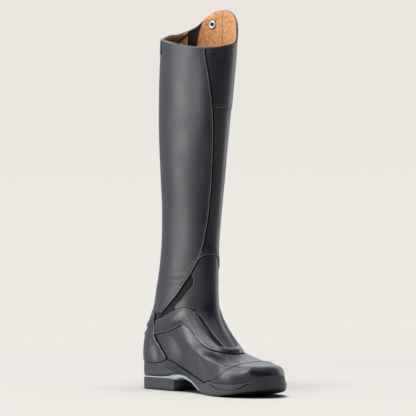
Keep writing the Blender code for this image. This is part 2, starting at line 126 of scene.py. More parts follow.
def courseValues(course):
    padded = np.vstack((2 * courseRows[0] - courseRows[1], courseRows, 2 * courseRows[-1] - courseRows[-2]))
    course = np.clip(course, 0, lastCourse)
    row = np.minimum(course.astype(int), lastCourse - 1)
    part = (course - row)[..., None]
    before, here, there, after = (padded[row + step] for step in range(4))
    bend = (2 * before - 5 * here + 4 * there - after) * part ** 2
    twist = (3 * here - before - 3 * there + after) * part ** 3
    return np.moveaxis(here + 0.5 * ((there - before) * part + bend + twist), -1, 0)


def soleHalfWidth(share, inner):
    width = np.where(inner, curve(bootForm["plan"], share, 1), curve(bootForm["plan"], share, 2))
    heel = np.clip((bootForm["heelRound"] - share) / bootForm["heelRound"], 0, 1)
    toe = np.clip((share - bootForm["toeRound"]) / (1 - bootForm["toeRound"]), 0, 1)
    square = bootForm["toeSquare"]
    return width * np.sqrt(1 - heel ** 2) * (1 - toe ** square) ** (1 / square)


def bootSurface(course, turn):  # points on the outside of the boot, in mm
    course, turn = np.broadcast_arrays(np.asarray(course, float), np.asarray(turn, float))
    turn = (turn + 1) % 2 - 1
    frontX, frontZ, backX, backZ, innerHalf, outerHalf, toe, heel, keen, sag = courseValues(course)
    inner = turn < 0
    angle = np.abs(turn) * math.pi
    share = (1 - np.cos(angle)) / 2
    start, end = bootForm["toeToHeel"]
    foot = np.clip(toe + (heel - toe) * ease((share - start) / (end - start)), 0, 1)
    ball = np.where(inner, bootForm["ballInner"], bootForm["ballOuter"])
    leg = np.sin(angle) * (1 - keen * np.cos(angle))
    width = foot * soleHalfWidth(1 - share, inner) / ball + (1 - foot) * leg
    width = width * np.where(inner, -innerHalf, outerHalf)
    x = frontX + (backX - frontX) * share
    z = frontZ + (backZ - frontZ) * share
    chord = courseRows[0, 1] + (courseRows[0, 3] - courseRows[0, 1]) * share
    z = z + np.maximum(sag, 0) * (curve(bootForm["feather"], x) - chord)
    lift = ease((course - bootForm["rimStart"]) / (lastCourse - bootForm["rimStart"]))
    z = z + lift * (curve(bootForm["rim"], turn) - courseRows[-1, 1])
    y = width + np.maximum(z - bootForm["leanStart"], 0) * bootForm["lean"]
    return np.stack((x, y, z), -1)


def bootSlopes(course, turn, step=0.004):  # change per turn and per course
    course, turn = np.broadcast_arrays(np.asarray(course, float), np.asarray(turn, float))
    high = np.minimum(course + step, lastCourse)
    low = np.maximum(course - step, 0)
    around = (bootSurface(course, turn + step) - bootSurface(course, turn - step)) / (2 * step)
    up = (bootSurface(high, turn) - bootSurface(low, turn)) / (high - low)[..., None]
    return around, up


def unit(vectors):
    return vectors / np.maximum(np.linalg.norm(vectors, axis=-1, keepdims=True), tiny)


def bootNormal(course, turn):
    return unit(np.cross(*bootSlopes(course, turn)))


def toFrame(points):  # mm from the heel's back to metres in the shared frame
    return points * mm + frameZero


def alongRows(rows, samples):  # course and turn at even steps along rows of both
    rows = np.array(rows, float)
    along = np.linspace(0, len(rows) - 1, samples)
    return [np.interp(along, range(len(rows)), rows[:, column]) for column in (0, 1)]


# soft folds of the worn leather: path rows are course, turn; half width and height in mm
# farWidth is for a fold that runs out more slowly on one side
foldTable = (
    {
        "path": (
            (9.0, -0.56), (8.15, -0.555), (7.3, -0.56), (6.55, -0.552), (5.45, -0.55), (4.35, -0.54),
            (3.6, -0.53), (2.95, -0.51), (2.3, -0.49), (1.0, -0.48),
        ),
        "halfWidth": 14.0, "farWidth": 52.0, "height": 5.2,
    },
    {"path": ((5.9, -0.315), (5.0, -0.295), (3.8, -0.285), (2.6, -0.295)), "halfWidth": 6.5, "height": 1.5},
    {"path": ((7.0, -0.202), (6.42, -0.188), (5.42, -0.192)), "halfWidth": 4.0, "height": 0.5},
    {
        "path": ((7.0, -0.26), (6.66, -0.258), (6.06, -0.24), (5.12, -0.232), (4.16, -0.208)),
        "halfWidth": 4.0, "height": -0.7,
    },
    {"path": ((7.4, -0.10), (7.1, -0.09), (6.6, -0.07)), "halfWidth": 5.0, "height": -0.4},
    {"path": ((3.7, -0.115), (3.1, -0.13), (2.5, -0.13), (1.2, -0.125)), "halfWidth": 9.5, "height": 3.4},
    {"path": ((3.7, 0.115), (3.1, 0.13), (2.5, 0.13), (1.2, 0.125)), "halfWidth": 9.5, "height": 2.0},
    {
        "path": ((4.2, -0.725), (3.18, -0.705), (2.32, -0.695), (1.0, -0.68)),
        "halfWidth": 11.0, "height": -2.6,
    },
    {"path": ((7.2, 0.30), (6.6, 0.27), (5.4, 0.26), (4.0, 0.265)), "halfWidth": 4.5, "height": -0.9},
    {"path": ((6.6, 0.215), (6.0, 0.195), (4.9, 0.20)), "halfWidth": 4.0, "height": -0.7},
    {"path": ((4.6, 0.43), (4.2, 0.37), (3.0, 0.36)), "halfWidth": 7.0, "height": -0.7},
    {"path": ((11.35, -0.76), (11.2, -0.66), (11.25, -0.57)), "halfWidth": 2.6, "height": -0.45},
    {"path": ((10.85, -0.78), (10.7, -0.68), (10.75, -0.60)), "halfWidth": 2.6, "height": -0.4},
    {"path": ((11.9, -0.74), (11.75, -0.62), (11.8, -0.54)), "halfWidth": 3.2, "height": -0.35},
    {"path": ((12.95, -0.54), (13.05, -0.43), (13.15, -0.35)), "halfWidth": 2.2, "height": -0.26},
    {"path": ((12.4, -0.56), (12.6, -0.43), (12.9, -0.34)), "halfWidth": 2.4, "height": -0.30},
    {"path": ((11.95, -0.56), (12.25, -0.44), (12.4, -0.38)), "halfWidth": 2.2, "height": -0.24},
    {
        "path": ((22.0, -0.225), (20.65, -0.20), (19.65, -0.178), (18.8, -0.172), (17.6, -0.19)),
        "halfWidth": 14.0, "height": 2.2,
    },
    {"path": ((11.35, 0.76), (11.2, 0.66), (11.3, 0.55)), "halfWidth": 2.8, "height": -0.5},
    {"path": ((10.75, 0.78), (10.6, 0.66)), "halfWidth": 2.8, "height": -0.5},
    {"path": ((11.6, -0.36), (11.1, -0.33), (10.9, -0.27)), "halfWidth": 7.0, "height": 0.5},
    {"path": ((9.6, -0.10), (9.4, 0.0), (9.6, 0.12)), "halfWidth": 4.5, "height": -0.5},
    {"path": ((11.6, -0.22), (11.5, 0.0), (11.6, 0.22)), "halfWidth": 6.0, "height": -0.4},
)
foldSizes = {
    "samples": 40,
    "endAngle": 0.1,  # where the sine that fades a fold's ends starts and stops
    "fadePower": 0.6,
    # slow unevenness all over: wave lengths along x, y, z and height, in mm
    "waves": ((170, 90, 210, 0.35), (61, 140, 118, 0.14), (95, 47, 64, 0.09)),
    "waveSlant": 0.5,
}


def foldHeight(points):
    height = np.zeros(points.shape[:-1])
    end = foldSizes["endAngle"]
    fade = np.sin(np.linspace(end, math.pi - end, foldSizes["samples"])) ** foldSizes["fadePower"]
    for fold in foldTable:
        course, turn = alongRows(fold["path"], foldSizes["samples"])
        line = bootSurface(course, turn)
        apart = np.linalg.norm(points[..., None, :] - line, axis=-1)
        nearest = apart.argmin(-1)
        gap = apart.min(-1)
        across = unit(np.cross(bootNormal(course, turn), np.gradient(line, axis=0)))[nearest]
        side = ((points - line[nearest]) * across).sum(-1) / np.maximum(gap, tiny)
        nearWidth = fold["halfWidth"]
        farWidth = fold.get("farWidth", nearWidth)
        width = (nearWidth + farWidth) / 2 + (nearWidth - farWidth) / 2 * side
        height += fold["height"] * fade[nearest] * np.exp(-(gap / width) ** 2)
    for *lengths, size in foldSizes["waves"]:
        x, y, z = np.moveaxis(points / np.array(lengths) * math.tau, -1, 0)
        height += size * np.sin(x + y) * np.sin(z + y * foldSizes["waveSlant"])
    return height


def skin(course, turn, lift=0.0):  # the worn surface, raised by lift
    points = bootSurface(course, turn)
    height = foldHeight(points) + lift
    return points + bootNormal(course, turn) * height[..., None]


def sideStep(course, turn, distance):  # a path moved sideways over the surface, in mm
    around, up = bootSlopes(course, turn)
    points = bootSurface(course, turn)
    side = unit(np.cross(np.cross(around, up), np.gradient(points, axis=0))) * distance
    aa, uu, au = ((one * other).sum(-1) for one, other in ((around, around), (up, up), (around, up)))
    sa, su = (side * around).sum(-1), (side * up).sum(-1)
    area = aa * uu - au * au
    return course + (su * aa - sa * au) / area, turn + (sa * uu - su * au) / area


# mesh helpers, sizes in mm
meshSizes = {"merge": 0.002, "sliver": 0.001, "edgeDegrees": 50, "edgeSegments": 2, "cordSides": 8}


def layGrid(spots):  # a grid of faces laid on rows of points
    rows, columns = spots.shape[0] - 1, spots.shape[1] - 1
    places = toFrame(spots)
    shape = bmesh.new()
    shape.loops.layers.uv.new("UVMap")
    bmesh.ops.create_grid(shape, x_segments=columns, y_segments=rows, size=1, calc_uvs=True)
    for corner in shape.verts:
        column = round((corner.co.x + 1) / 2 * columns)
        row = round((corner.co.y + 1) / 2 * rows)
        corner.co = places[row, column]
    bmesh.ops.remove_doubles(shape, verts=shape.verts, dist=meshSizes["merge"] * mm)
    bmesh.ops.dissolve_degenerate(shape, edges=shape.edges, dist=meshSizes["sliver"] * mm)
    return shape


def closeEnds(shape):
    bmesh.ops.holes_fill(shape, edges=[edge for edge in shape.edges if edge.is_boundary], sides=0)
    bmesh.ops.recalc_face_normals(shape, faces=shape.faces)


def finishPiece(name, shape, look, slotName, *stands):
    for face in shape.faces:
        face.smooth = True
    mesh = bpy.data.meshes.new(name)
    shape.to_mesh(mesh)
    shape.free()
    mesh.materials.append(look)
    piece = bpy.data.objects.new(name, mesh)
    bpy.context.scene.collection.objects.link(piece)
    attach(piece, "root")
    if stands:
        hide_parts(*stands)
    return piece


def addWall(piece, thickness, side, edgeRound=0.0):  # side 1 grows outwards, -1 inwards
    wall = piece.modifiers.new("wall", "SOLIDIFY")
    wall.thickness = thickness * mm
    wall.offset = side
    wall.use_even_offset = True
    wall.use_quality_normals = True
    if edgeRound:
        soft = piece.modifiers.new("softEdge", "BEVEL")
        soft.limit_method = "ANGLE"
        soft.angle_limit = math.radians(meshSizes["edgeDegrees"])
        soft.width = edgeRound * mm
        soft.segments = meshSizes["edgeSegments"]
        soft.harden_normals = True


def tube(points, normals, radius, sides=meshSizes["cordSides"]):  # a round cord along points
    forward = unit(np.gradient(points, axis=0))
    across = unit(np.cross(forward, normals))
    angle = np.linspace(0, -math.tau, sides + 1)[:, None, None]
    return layGrid(points + radius * (np.cos(angle) * normals + np.sin(angle) * across))


# looks
noiseRange = {"From_Min": 0.3, "From_Max": 0.7}  # where most of a noise texture lies


def nodeLook(name, roughness=0.5, metallic=0.0):
    look = bpy.data.materials.new(name)
    look.use_nodes = True
    tree = look.node_tree
    shader = tree.nodes["Principled BSDF"]
    shader.inputs["Roughness"].default_value = roughness
    shader.inputs["Metallic"].default_value = metallic
    return look, tree, shader


def addNode(tree, kind, **values):
    node = tree.nodes.new(kind)
    for name, value in values.items():
        if name in node.bl_rna.properties:
            setattr(node, name, value)
        else:
            node.inputs[name.replace("_", " ")].default_value = value
    return node


def twoTone(tree, shader, factor, dark, light, low=0.35, high=0.65):
    ramp = addNode(tree, "ShaderNodeValToRGB")
    ramp.color_ramp.elements[0].position = low
    ramp.color_ramp.elements[0].color = (*dark, 1)
    ramp.color_ramp.elements[1].position = high
    ramp.color_ramp.elements[1].color = (*light, 1)
    tree.links.new(factor, ramp.inputs["Fac"])
    tree.links.new(ramp.outputs["Color"], shader.inputs["Base Color"])


def spread(tree, factor, socket, low, high):
    between = addNode(tree, "ShaderNodeMapRange", **noiseRange, To_Min=low, To_Max=high)
    tree.links.new(factor, between.inputs["Value"])
    tree.links.new(between.outputs["Result"], socket)


def bumpOn(tree, shader, layers, depth):  # layers are height outputs with their strengths
    normal = None
    for height, strength in layers:
        bump = addNode(tree, "ShaderNodeBump", Strength=strength, Distance=depth * mm)
        tree.links.new(height, bump.inputs["Height"])
        if normal:
            tree.links.new(normal, bump.inputs["Normal"])
        normal = bump.outputs["Normal"]
    tree.links.new(normal, shader.inputs["Normal"])


def leatherLook(name, tone):
    look, tree, shader = nodeLook(name)
    place = addNode(tree, "ShaderNodeTexCoord").outputs["Object"]
    mottle = addNode(tree, "ShaderNodeTexNoise", Scale=tone["mottle"], Detail=4.0, Roughness=0.55)
    grain = addNode(tree, "ShaderNodeTexVoronoi", Scale=tone["grain"], feature="SMOOTH_F1")
    pores = addNode(tree, "ShaderNodeTexNoise", Scale=tone["pores"], Detail=3.0, Roughness=0.6)
    for texture in (mottle, grain, pores):
        tree.links.new(place, texture.inputs["Vector"])
    twoTone(tree, shader, mottle.outputs["Fac"], tone["dark"], tone["light"])
    # the foot takes more polish than the leg
    height = addNode(tree, "ShaderNodeSeparateXYZ")
    polish = addNode(
        tree, "ShaderNodeMapRange", interpolation_type="SMOOTHSTEP",
        From_Min=tone["polish"][0], From_Max=tone["polish"][1],
    )
    uneven = addNode(tree, "ShaderNodeMapRange", **noiseRange, To_Min=-tone["uneven"], To_Max=tone["uneven"])
    base = addNode(tree, "ShaderNodeMapRange", To_Min=tone["roughness"][0], To_Max=tone["roughness"][1])
    total = addNode(tree, "ShaderNodeMath", operation="ADD")
    tree.links.new(place, height.inputs[0])
    tree.links.new(height.outputs["Z"], polish.inputs["Value"])
    tree.links.new(polish.outputs["Result"], base.inputs["Value"])
    tree.links.new(mottle.outputs["Fac"], uneven.inputs["Value"])
    tree.links.new(base.outputs["Result"], total.inputs[0])
    tree.links.new(uneven.outputs["Result"], total.inputs[1])
    tree.links.new(total.outputs["Value"], shader.inputs["Roughness"])
    layers = (grain.outputs["Distance"], tone["grainDepth"]), (pores.outputs["Fac"], tone["poreDepth"])
    bumpOn(tree, shader, layers, depth=0.3)
    shader.inputs["Specular IOR Level"].default_value = tone["gloss"]
    shader.inputs["Coat Weight"].default_value = tone["coat"]
    shader.inputs["Coat Roughness"].default_value = tone["coatRoughness"]
    return look


leatherTones = {
    "blackCalf": {
        "dark": (0.0036, 0.0044, 0.0100), "light": (0.0072, 0.0084, 0.0175),
        "mottle": 38, "grain": 620, "pores": 1900, "grainDepth": 0.16, "poreDepth": 0.16,
        "roughness": (0.35, 0.43), "polish": (0.08, 0.14), "uneven": 0.06,
        "gloss": 0.5, "coat": 0.1, "coatRoughness": 0.3,
    },
    "polishedCalf": {
        "dark": (0.0036, 0.0044, 0.0100), "light": (0.0072, 0.0084, 0.0175),
        "mottle": 45, "grain": 700, "pores": 2000, "grainDepth": 0.10, "poreDepth": 0.10,
        "roughness": (0.38, 0.26), "polish": (0.06, 0.14), "uneven": 0.04,
        "gloss": 0.5, "coat": 0.15, "coatRoughness": 0.25,
    },
}
# painted highlight: a much lighter base colour than the black calf, so the rolled edges, ridges and piping
# show a light line
leatherTones["wornEdge"] = dict(
    leatherTones["polishedCalf"], dark=(0.06, 0.06, 0.066), light=(0.10, 0.10, 0.108),
    roughness=(0.26, 0.30), coat=0.3,
)
blackCalf, polishedCalf, wornEdge = (leatherLook(name, tone) for name, tone in leatherTones.items())

liningTone = {
    "dark": (0.27, 0.090, 0.020), "light": (0.63, 0.305, 0.102), "contrast": (0.33, 0.68),
    "mottle": 300, "nap": 1300, "napDepth": 0.35, "mottleDepth": 0.15, "roughness": (0.72, 0.9),
    "sheen": 0.15, "sheenRoughness": 0.5,
}


def suedeLook(name, tone):
    look, tree, shader = nodeLook(name)
    place = addNode(tree, "ShaderNodeTexCoord").outputs["Object"]
    mottle = addNode(tree, "ShaderNodeTexNoise", Scale=tone["mottle"], Detail=5.0, Roughness=0.65)
    nap = addNode(tree, "ShaderNodeTexNoise", Scale=tone["nap"], Detail=3.0, Roughness=0.7)
    for texture in (mottle, nap):
        tree.links.new(place, texture.inputs["Vector"])
    twoTone(tree, shader, mottle.outputs["Fac"], tone["dark"], tone["light"], *tone["contrast"])
    spread(tree, nap.outputs["Fac"], shader.inputs["Roughness"], *tone["roughness"])
    layers = (nap.outputs["Fac"], tone["napDepth"]), (mottle.outputs["Fac"], tone["mottleDepth"])
    bumpOn(tree, shader, layers, depth=0.4)
    shader.inputs["Sheen Weight"].default_value = tone["sheen"]
    shader.inputs["Sheen Roughness"].default_value = tone["sheenRoughness"]
    return look


tanSuede = suedeLook("tanSuede", liningTone)
# painted shade: a darker copy of the lining colour for the back of the inside, where shade falls
paintedShadeTone = dict(liningTone, dark=(0.09, 0.035, 0.014), light=(0.17, 0.075, 0.032))
paintedShadeSuede = suedeLook("paintedShadeSuede", paintedShadeTone)

rubberTones = {
    "soleRubber": {
        "dark": (0.024, 0.025, 0.032), "light": (0.036, 0.037, 0.046),
        "mottle": 60, "speck": 1900, "roughness": (0.55, 0.68), "gloss": 0.5,
    },
    "heelRubber": {
        "dark": (0.019, 0.020, 0.025), "light": (0.029, 0.030, 0.037),
        "mottle": 60, "speck": 1900, "roughness": (0.55, 0.68), "gloss": 0.5,
    },
    "spurRubber": {
        "dark": (0.024, 0.024, 0.027), "light": (0.036, 0.036, 0.040),
        "mottle": 60, "speck": 1900, "roughness": (0.42, 0.52), "gloss": 0.5,
    },
    "archNylon": {
        "dark": (0.235, 0.27, 0.32), "light": (0.30, 0.34, 0.40),
        "mottle": 40, "speck": 1500, "roughness": (0.32, 0.42), "gloss": 0.5,
    },
    # painted highlight: the thread is much lighter than the black calf so the stitches show light dashes
    "blackThread": {
        "dark": (0.040, 0.040, 0.044), "light": (0.070, 0.070, 0.075),
        "mottle": 400, "speck": 4000, "roughness": (0.5, 0.6), "gloss": 0.5,
    },
    # painted shade: near-black matte for the cords that stand in for the shade in seams, gaps, grooves and
    # round the snap
    "seamShade": {
        "dark": (0.0015, 0.0015, 0.0018), "light": (0.003, 0.003, 0.0035),
        "mottle": 200, "speck": 1500, "roughness": (0.9, 1.0), "gloss": 0.1,
    },
    "blackElastic": {
        "dark": (0.006, 0.006, 0.008), "light": (0.012, 0.012, 0.015),
        "mottle": 300, "speck": 2600, "roughness": (0.75, 0.9), "gloss": 0.25,
    },
    "brownThread": {
        "dark": (0.09, 0.035, 0.010), "light": (0.15, 0.06, 0.018),
        "mottle": 300, "speck": 3000, "roughness": (0.6, 0.75), "gloss": 0.5,
    },
}


def mouldedLook(name, tone, speckDepth=0.18):
    look, tree, shader = nodeLook(name)
    place = addNode(tree, "ShaderNodeTexCoord").outputs["Object"]
    mottle = addNode(tree, "ShaderNodeTexNoise", Scale=tone["mottle"], Detail=3.0, Roughness=0.55)
    speck = addNode(tree, "ShaderNodeTexNoise", Scale=tone["speck"], Detail=2.0, Roughness=0.6)
    for texture in (mottle, speck):
        tree.links.new(place, texture.inputs["Vector"])
    twoTone(tree, shader, mottle.outputs["Fac"], tone["dark"], tone["light"])
    spread(tree, speck.outputs["Fac"], shader.inputs["Roughness"], *tone["roughness"])
    bumpOn(tree, shader, ((speck.outputs["Fac"], speckDepth),), depth=0.25)
    shader.inputs["Specular IOR Level"].default_value = tone["gloss"]
    return look


soleRubber, heelRubber, spurRubber, archNylon, blackThread, seamShade, blackElastic, brownThread = (
    mouldedLook(name, tone) for name, tone in rubberTones.items()
)


def metalLook(name, tone):
    look, tree, shader = nodeLook(name, metallic=1.0)
    place = addNode(tree, "ShaderNodeTexCoord").outputs["Object"]
    wear = addNode(tree, "ShaderNodeTexNoise", Scale=tone["wear"], Detail=3.0)
    tree.links.new(place, wear.inputs["Vector"])
    dark = [value * tone["darkShare"] for value in tone["colour"]]
    twoTone(tree, shader, wear.outputs["Fac"], dark, tone["colour"])
    spread(tree, wear.outputs["Fac"], shader.inputs["Roughness"], *tone["roughness"])
    bumpOn(tree, shader, ((wear.outputs["Fac"], tone["wearDepth"]),), depth=0.1)
    return look


steelTone = {
    "colour": (0.25, 0.25, 0.26), "darkShare": 0.85, "roughness": (0.28, 0.36),
    "wear": 700.0, "wearDepth": 0.05,
}
snapSteel = metalLook("snapSteel", steelTone)
print("looks ready")

# leather shell of the whole boot, closed all round
shellSizes = {"columns": 240, "wall": 1.2, "foot": 90, "leg": 55, "rim": 18, "footTop": 9.0, "legTop": 20.0}
shellCourses = np.concatenate((
    np.linspace(0, shellSizes["footTop"], shellSizes["foot"], endpoint=False),
    np.linspace(shellSizes["footTop"], shellSizes["legTop"], shellSizes["leg"], endpoint=False),
    np.linspace(shellSizes["legTop"], lastCourse, shellSizes["rim"] + 1),
))
shellTurns = np.linspace(-1, 1, shellSizes["columns"] + 1)
course, turn = np.meshgrid(shellCourses, shellTurns, indexing="ij")
shell = finishPiece("leatherShell", layGrid(skin(course, turn)), blackCalf, "black_leather", "upper")
addWall(shell, shellSizes["wall"], -1)
print("shell laid")

# tan lining inside
liningSizes = {"columns": 150, "rows": 110, "inset": 1.3, "wall": 0.85, "top": 21.98}
liningCourses = np.linspace(0, liningSizes["top"], liningSizes["rows"] + 1)
liningTurns = np.linspace(-1, 1, liningSizes["columns"] + 1)
course, turn = np.meshgrid(liningCourses, liningTurns, indexing="ij")
liningShape = layGrid(skin(course, turn, -liningSizes["inset"]))
lining = finishPiece("tanLining", liningShape, tanSuede, "insole_leather")
addWall(lining, liningSizes["wall"], -1)

# rolled edge round the collar
bindingSizes = {"columns": 320, "sides": 12, "radius": 0.8, "height": 0.7, "inset": 0.75, "drop": 0.35}
turn = np.linspace(-1, 1, bindingSizes["columns"] + 1)
course = np.full_like(turn, lastCourse)
outwards = bootNormal(course, turn)
upwards = unit(bootSlopes(course, turn)[1])
angle = np.linspace(0, math.tau, bindingSizes["sides"] + 1)[:, None, None]
rimLine = bootSurface(course, turn) - outwards * bindingSizes["inset"] - upwards * bindingSizes["drop"]
aside = outwards * np.cos(angle) * bindingSizes["radius"]
above = upwards * np.sin(angle) * bindingSizes["height"]
binding = layGrid(rimLine + aside + above)
bmesh.ops.recalc_face_normals(binding, faces=binding.faces)
finishPiece("collarBinding", binding, blackCalf, "black_leather")
print("lining and collar laid")


# panels on the shell
def panelShares(sizes):  # shares of the way up and across a panel
    shares = (np.linspace(0, 1, sizes[name] + 1) for name in ("rows", "columns"))
    return np.meshgrid(*shares, indexing="ij")


def panelPiece(name, look, slotName, sizes, spot, lift, *stands):
    up, across = panelShares(sizes)
    course, turn = spot(up, across)
    height = lift(up, across) if callable(lift) else lift
    piece = finishPiece(name, layGrid(skin(course, turn, height)), look, slotName, *stands)
    addWall(piece, sizes["wall"], 1, sizes["edgeRound"])


calfSizes = {
    "rows": 150, "columns": 64, "wall": 1.2, "edgeRound": 0.45, "lift": 0.45,
    "top": 21.95, "back": 0.965,
    # turn, course of its lower edge
    "low": ((0.64, 9.06), (0.685, 8.66), (0.7275, 8.34), (0.80, 8.3), (0.965, 8.5)),
    # course, turn of the swept front edge
    "edge": (
        (8.1, 0.69), (9.06, 0.64), (9.9, 0.583), (10.7, 0.52), (12.5, 0.365), (13.4, 0.265), (14.2, 0.180),
        (15.1, 0.138), (15.8, 0.115), (17.0, 0.105), (18.0, 0.112), (19.0, 0.130), (20.4, 0.185),
        (22.0, 0.242),
    ),
}
outerCalfSizes = dict(
    calfSizes, wall=0.8, edgeRound=0.3, lift=0.3,
    edge=(
        (8.1, 0.69), (9.06, 0.64), (9.9, 0.583), (10.7, 0.52), (12.5, 0.42), (14.0, 0.36), (17.0, 0.33),
        (20.0, 0.34), (22.0, 0.37),
    ),
)


def calfSpot(sizes, side):
    def spot(up, across):
        forward = across if side < 0 else 1 - across
        low = curve(sizes["low"], sizes["back"] + (sizes["low"][0][0] - sizes["back"]) * forward)
        course = low + (sizes["top"] - low) * up
        edge = curve(sizes["edge"], course)
        return course, side * (sizes["back"] + (edge - sizes["back"]) * forward)
    return spot


calfSpots = calfSpot(calfSizes, -1), calfSpot(outerCalfSizes, 1)
panelPiece("calfPanel", blackCalf, "black_leather", calfSizes, calfSpots[0], calfSizes["lift"], "calf_panel")
panelPiece("outerCalfPanel", blackCalf, "black_leather", outerCalfSizes, calfSpots[1], outerCalfSizes["lift"])

# front of the leg: a band under the rim, and the shin piece whose arched hem lies over the ankle piece
shinSizes = {
    "rows": 70, "columns": 70, "wall": 0.7, "edgeRound": 0.3, "lift": 0.1, "hemLift": 1.05, "hemReach": 0.09,
    "top": 19.6, "spread": 0.34,
    # turn, course of the arched hem
    "hem": (
        (-0.34, 13.3), (-0.24, 13.7), (-0.178, 13.98), (-0.128, 14.08), (-0.072, 14.14), (0.052, 14.12),
        (0.122, 13.94), (0.20, 13.6), (0.34, 13.2),
    ),
}
bandSizes = {
    "rows": 34, "columns": 70, "wall": 0.7, "edgeRound": 0.3, "lift": 0.9, "topLift": 0.2,
    "low": 19.38, "spread": 0.34,
}


def shinSpot(up, across):
    turn = (2 * across - 1) * shinSizes["spread"]
    hem = curve(shinSizes["hem"], turn)
    return hem + (shinSizes["top"] - hem) * up, turn


def shinLift(up, across):
    nearHem = 1 - ease(up / shinSizes["hemReach"])
    return shinSizes["lift"] + (shinSizes["hemLift"] - shinSizes["lift"]) * nearHem


def bandSpot(up, across):
    turn = (2 * across - 1) * bandSizes["spread"]
    return bandSizes["low"] + (calfSizes["top"] - bandSizes["low"]) * up, turn


def bandLift(up, across):
    return bandSizes["lift"] + (bandSizes["topLift"] - bandSizes["lift"]) * ease(up)


panelPiece("shinPanel", blackCalf, "black_leather", shinSizes, shinSpot, shinLift)
panelPiece("shinBand", blackCalf, "black_leather", bandSizes, bandSpot, bandLift)

# ankle piece over the instep, between the stretch gores
ankleSizes = {
    "rows": 110, "columns": 90, "wall": 0.7, "edgeRound": 0.35, "lift": 0.1, "low": 7.9, "top": 14.4,
    # course, turn of its side edge; the part below the bend lies under the saddle
    "edge": (
        (7.9, 0.20), (9.0, 0.26), (10.0, 0.40), (10.32, 0.470), (11.38, 0.388), (12.1, 0.322), (12.34, 0.288),
        (12.66, 0.256), (12.88, 0.252), (13.1, 0.266), (13.5, 0.29), (14.4, 0.29),
    ),
}


def ankleSpot(up, across):
    course = ankleSizes["low"] + (ankleSizes["top"] - ankleSizes["low"]) * up
    return course, (2 * across - 1) * curve(ankleSizes["edge"], course)


panelPiece("anklePiece", blackCalf, "black_leather", ankleSizes, ankleSpot, ankleSizes["lift"])

# padded saddle round the ankle and over the instep
saddleSizes = {
    "rows": 16, "columns": 260, "wall": 1.2, "edgeRound": 0.5, "lift": 0.45, "pad": 2.0, "reach": 0.715,
    # turn, course; the tongue over the outer side of the instep reaches lower
    "low": (
        (-0.73, 5.4), (-0.705, 5.66), (-0.59, 7.18), (-0.488, 8.38), (-0.41, 9.06), (-0.378, 8.92),
        (-0.358, 8.56), (-0.338, 7.94), (-0.298, 7.40), (-0.245, 7.28), (-0.18, 7.32), (-0.098, 7.42),
        (0.0, 7.44), (0.08, 7.4), (0.16, 7.12), (0.22, 6.9), (0.29, 7.2), (0.338, 7.94), (0.358, 8.56),
        (0.378, 8.92), (0.41, 9.06), (0.488, 8.38), (0.59, 7.18), (0.705, 5.66), (0.73, 5.4),
    ),
    # distance in turn from the shin, course
    "high": (
        (0.00, 7.95), (0.052, 7.93), (0.112, 7.88), (0.172, 7.92), (0.20, 8.4), (0.225, 9.32), (0.248, 10.06),
        (0.282, 10.74), (0.338, 10.78), (0.385, 10.66), (0.462, 10.18), (0.542, 9.5), (0.60, 8.85),
        (0.66, 8.15), (0.73, 7.6),
    ),
}


def saddleSpot(up, across):
    turn = (2 * across - 1) * saddleSizes["reach"]
    low = curve(saddleSizes["low"], turn)
    return low + (curve(saddleSizes["high"], np.abs(turn)) - low) * up, turn


def saddleLift(up, across):
    return saddleSizes["lift"] + saddleSizes["pad"] * np.sin(math.pi * up)


panelPiece("ankleSaddle", blackCalf, "black_leather", saddleSizes, saddleSpot, saddleLift, "ankle_saddle")

# ribbed stretch inserts between the calf panel and the ankle piece
insertSizes = {
    "rows": 60, "columns": 120, "wall": 0.25, "edgeRound": 0.0, "lift": 0.05, "rib": 0.25, "ribs": 30,
    "front": 0.24, "back": 0.70,
    # distance in turn from the shin, course
    "low": ((0.24, 11.6), (0.40, 9.9), (0.46, 9.6), (0.54, 8.8), (0.60, 8.2), (0.70, 7.2)),
    "high": ((0.24, 13.7), (0.40, 12.9), (0.55, 11.2), (0.70, 9.2)),
}


def ribHeight(sizes, across):  # from 0 to the rib's full height, highest at the panel's edges
    return sizes["rib"] * (0.5 + 0.5 * np.cos(math.tau * sizes["ribs"] * across))


def insertSpot(side):
    def spot(up, across):
        backwards = across if side > 0 else 1 - across
        reach = insertSizes["front"] + (insertSizes["back"] - insertSizes["front"]) * backwards
        low = curve(insertSizes["low"], reach)
        return low + (curve(insertSizes["high"], reach) - low) * up, side * reach
    return spot


def insertLift(up, across):
    return insertSizes["lift"] + ribHeight(insertSizes, across)


panelPiece("innerInsert", blackElastic, "black_leather", insertSizes, insertSpot(-1), insertLift)
panelPiece("outerInsert", blackElastic, "black_leather", insertSizes, insertSpot(1), insertLift)

# ribbed gore beside the ankle piece, from the top of the saddle to the tongue
goreSizes = {
    "rows": 70, "columns": 24, "wall": 0.3, "edgeRound": 0.0, "lift": 0.85, "rib": 0.35, "ribs": 4,
    "low": 7.8, "top": 10.9,
    # course, turn of the back and of the front edge
    "edges": (
        (7.8, 0.178, 0.098), (8.02, 0.19, 0.112), (8.4, 0.207, 0.13), (8.9, 0.219, 0.150),
        (9.74, 0.24, 0.175), (10.46, 0.268, 0.2025), (10.9, 0.30, 0.262),
    ),
}


def goreSpot(side):
    def spot(up, across):
        course = goreSizes["low"] + (goreSizes["top"] - goreSizes["low"]) * up
        back, front = (curve(goreSizes["edges"], course, column) for column in (1, 2))
        return course, side * (back + (front - back) * (across if side < 0 else 1 - across))
    return spot


def goreLift(up, across):
    return goreSizes["lift"] + goreSizes["rib"] - ribHeight(goreSizes, across)  # its edges lie in a valley


panelPiece("innerGore", blackElastic, "black_leather", goreSizes, goreSpot(-1), goreLift)
panelPiece("outerGore", blackElastic, "black_leather", goreSizes, goreSpot(1), goreLift)
print("leg panels laid")

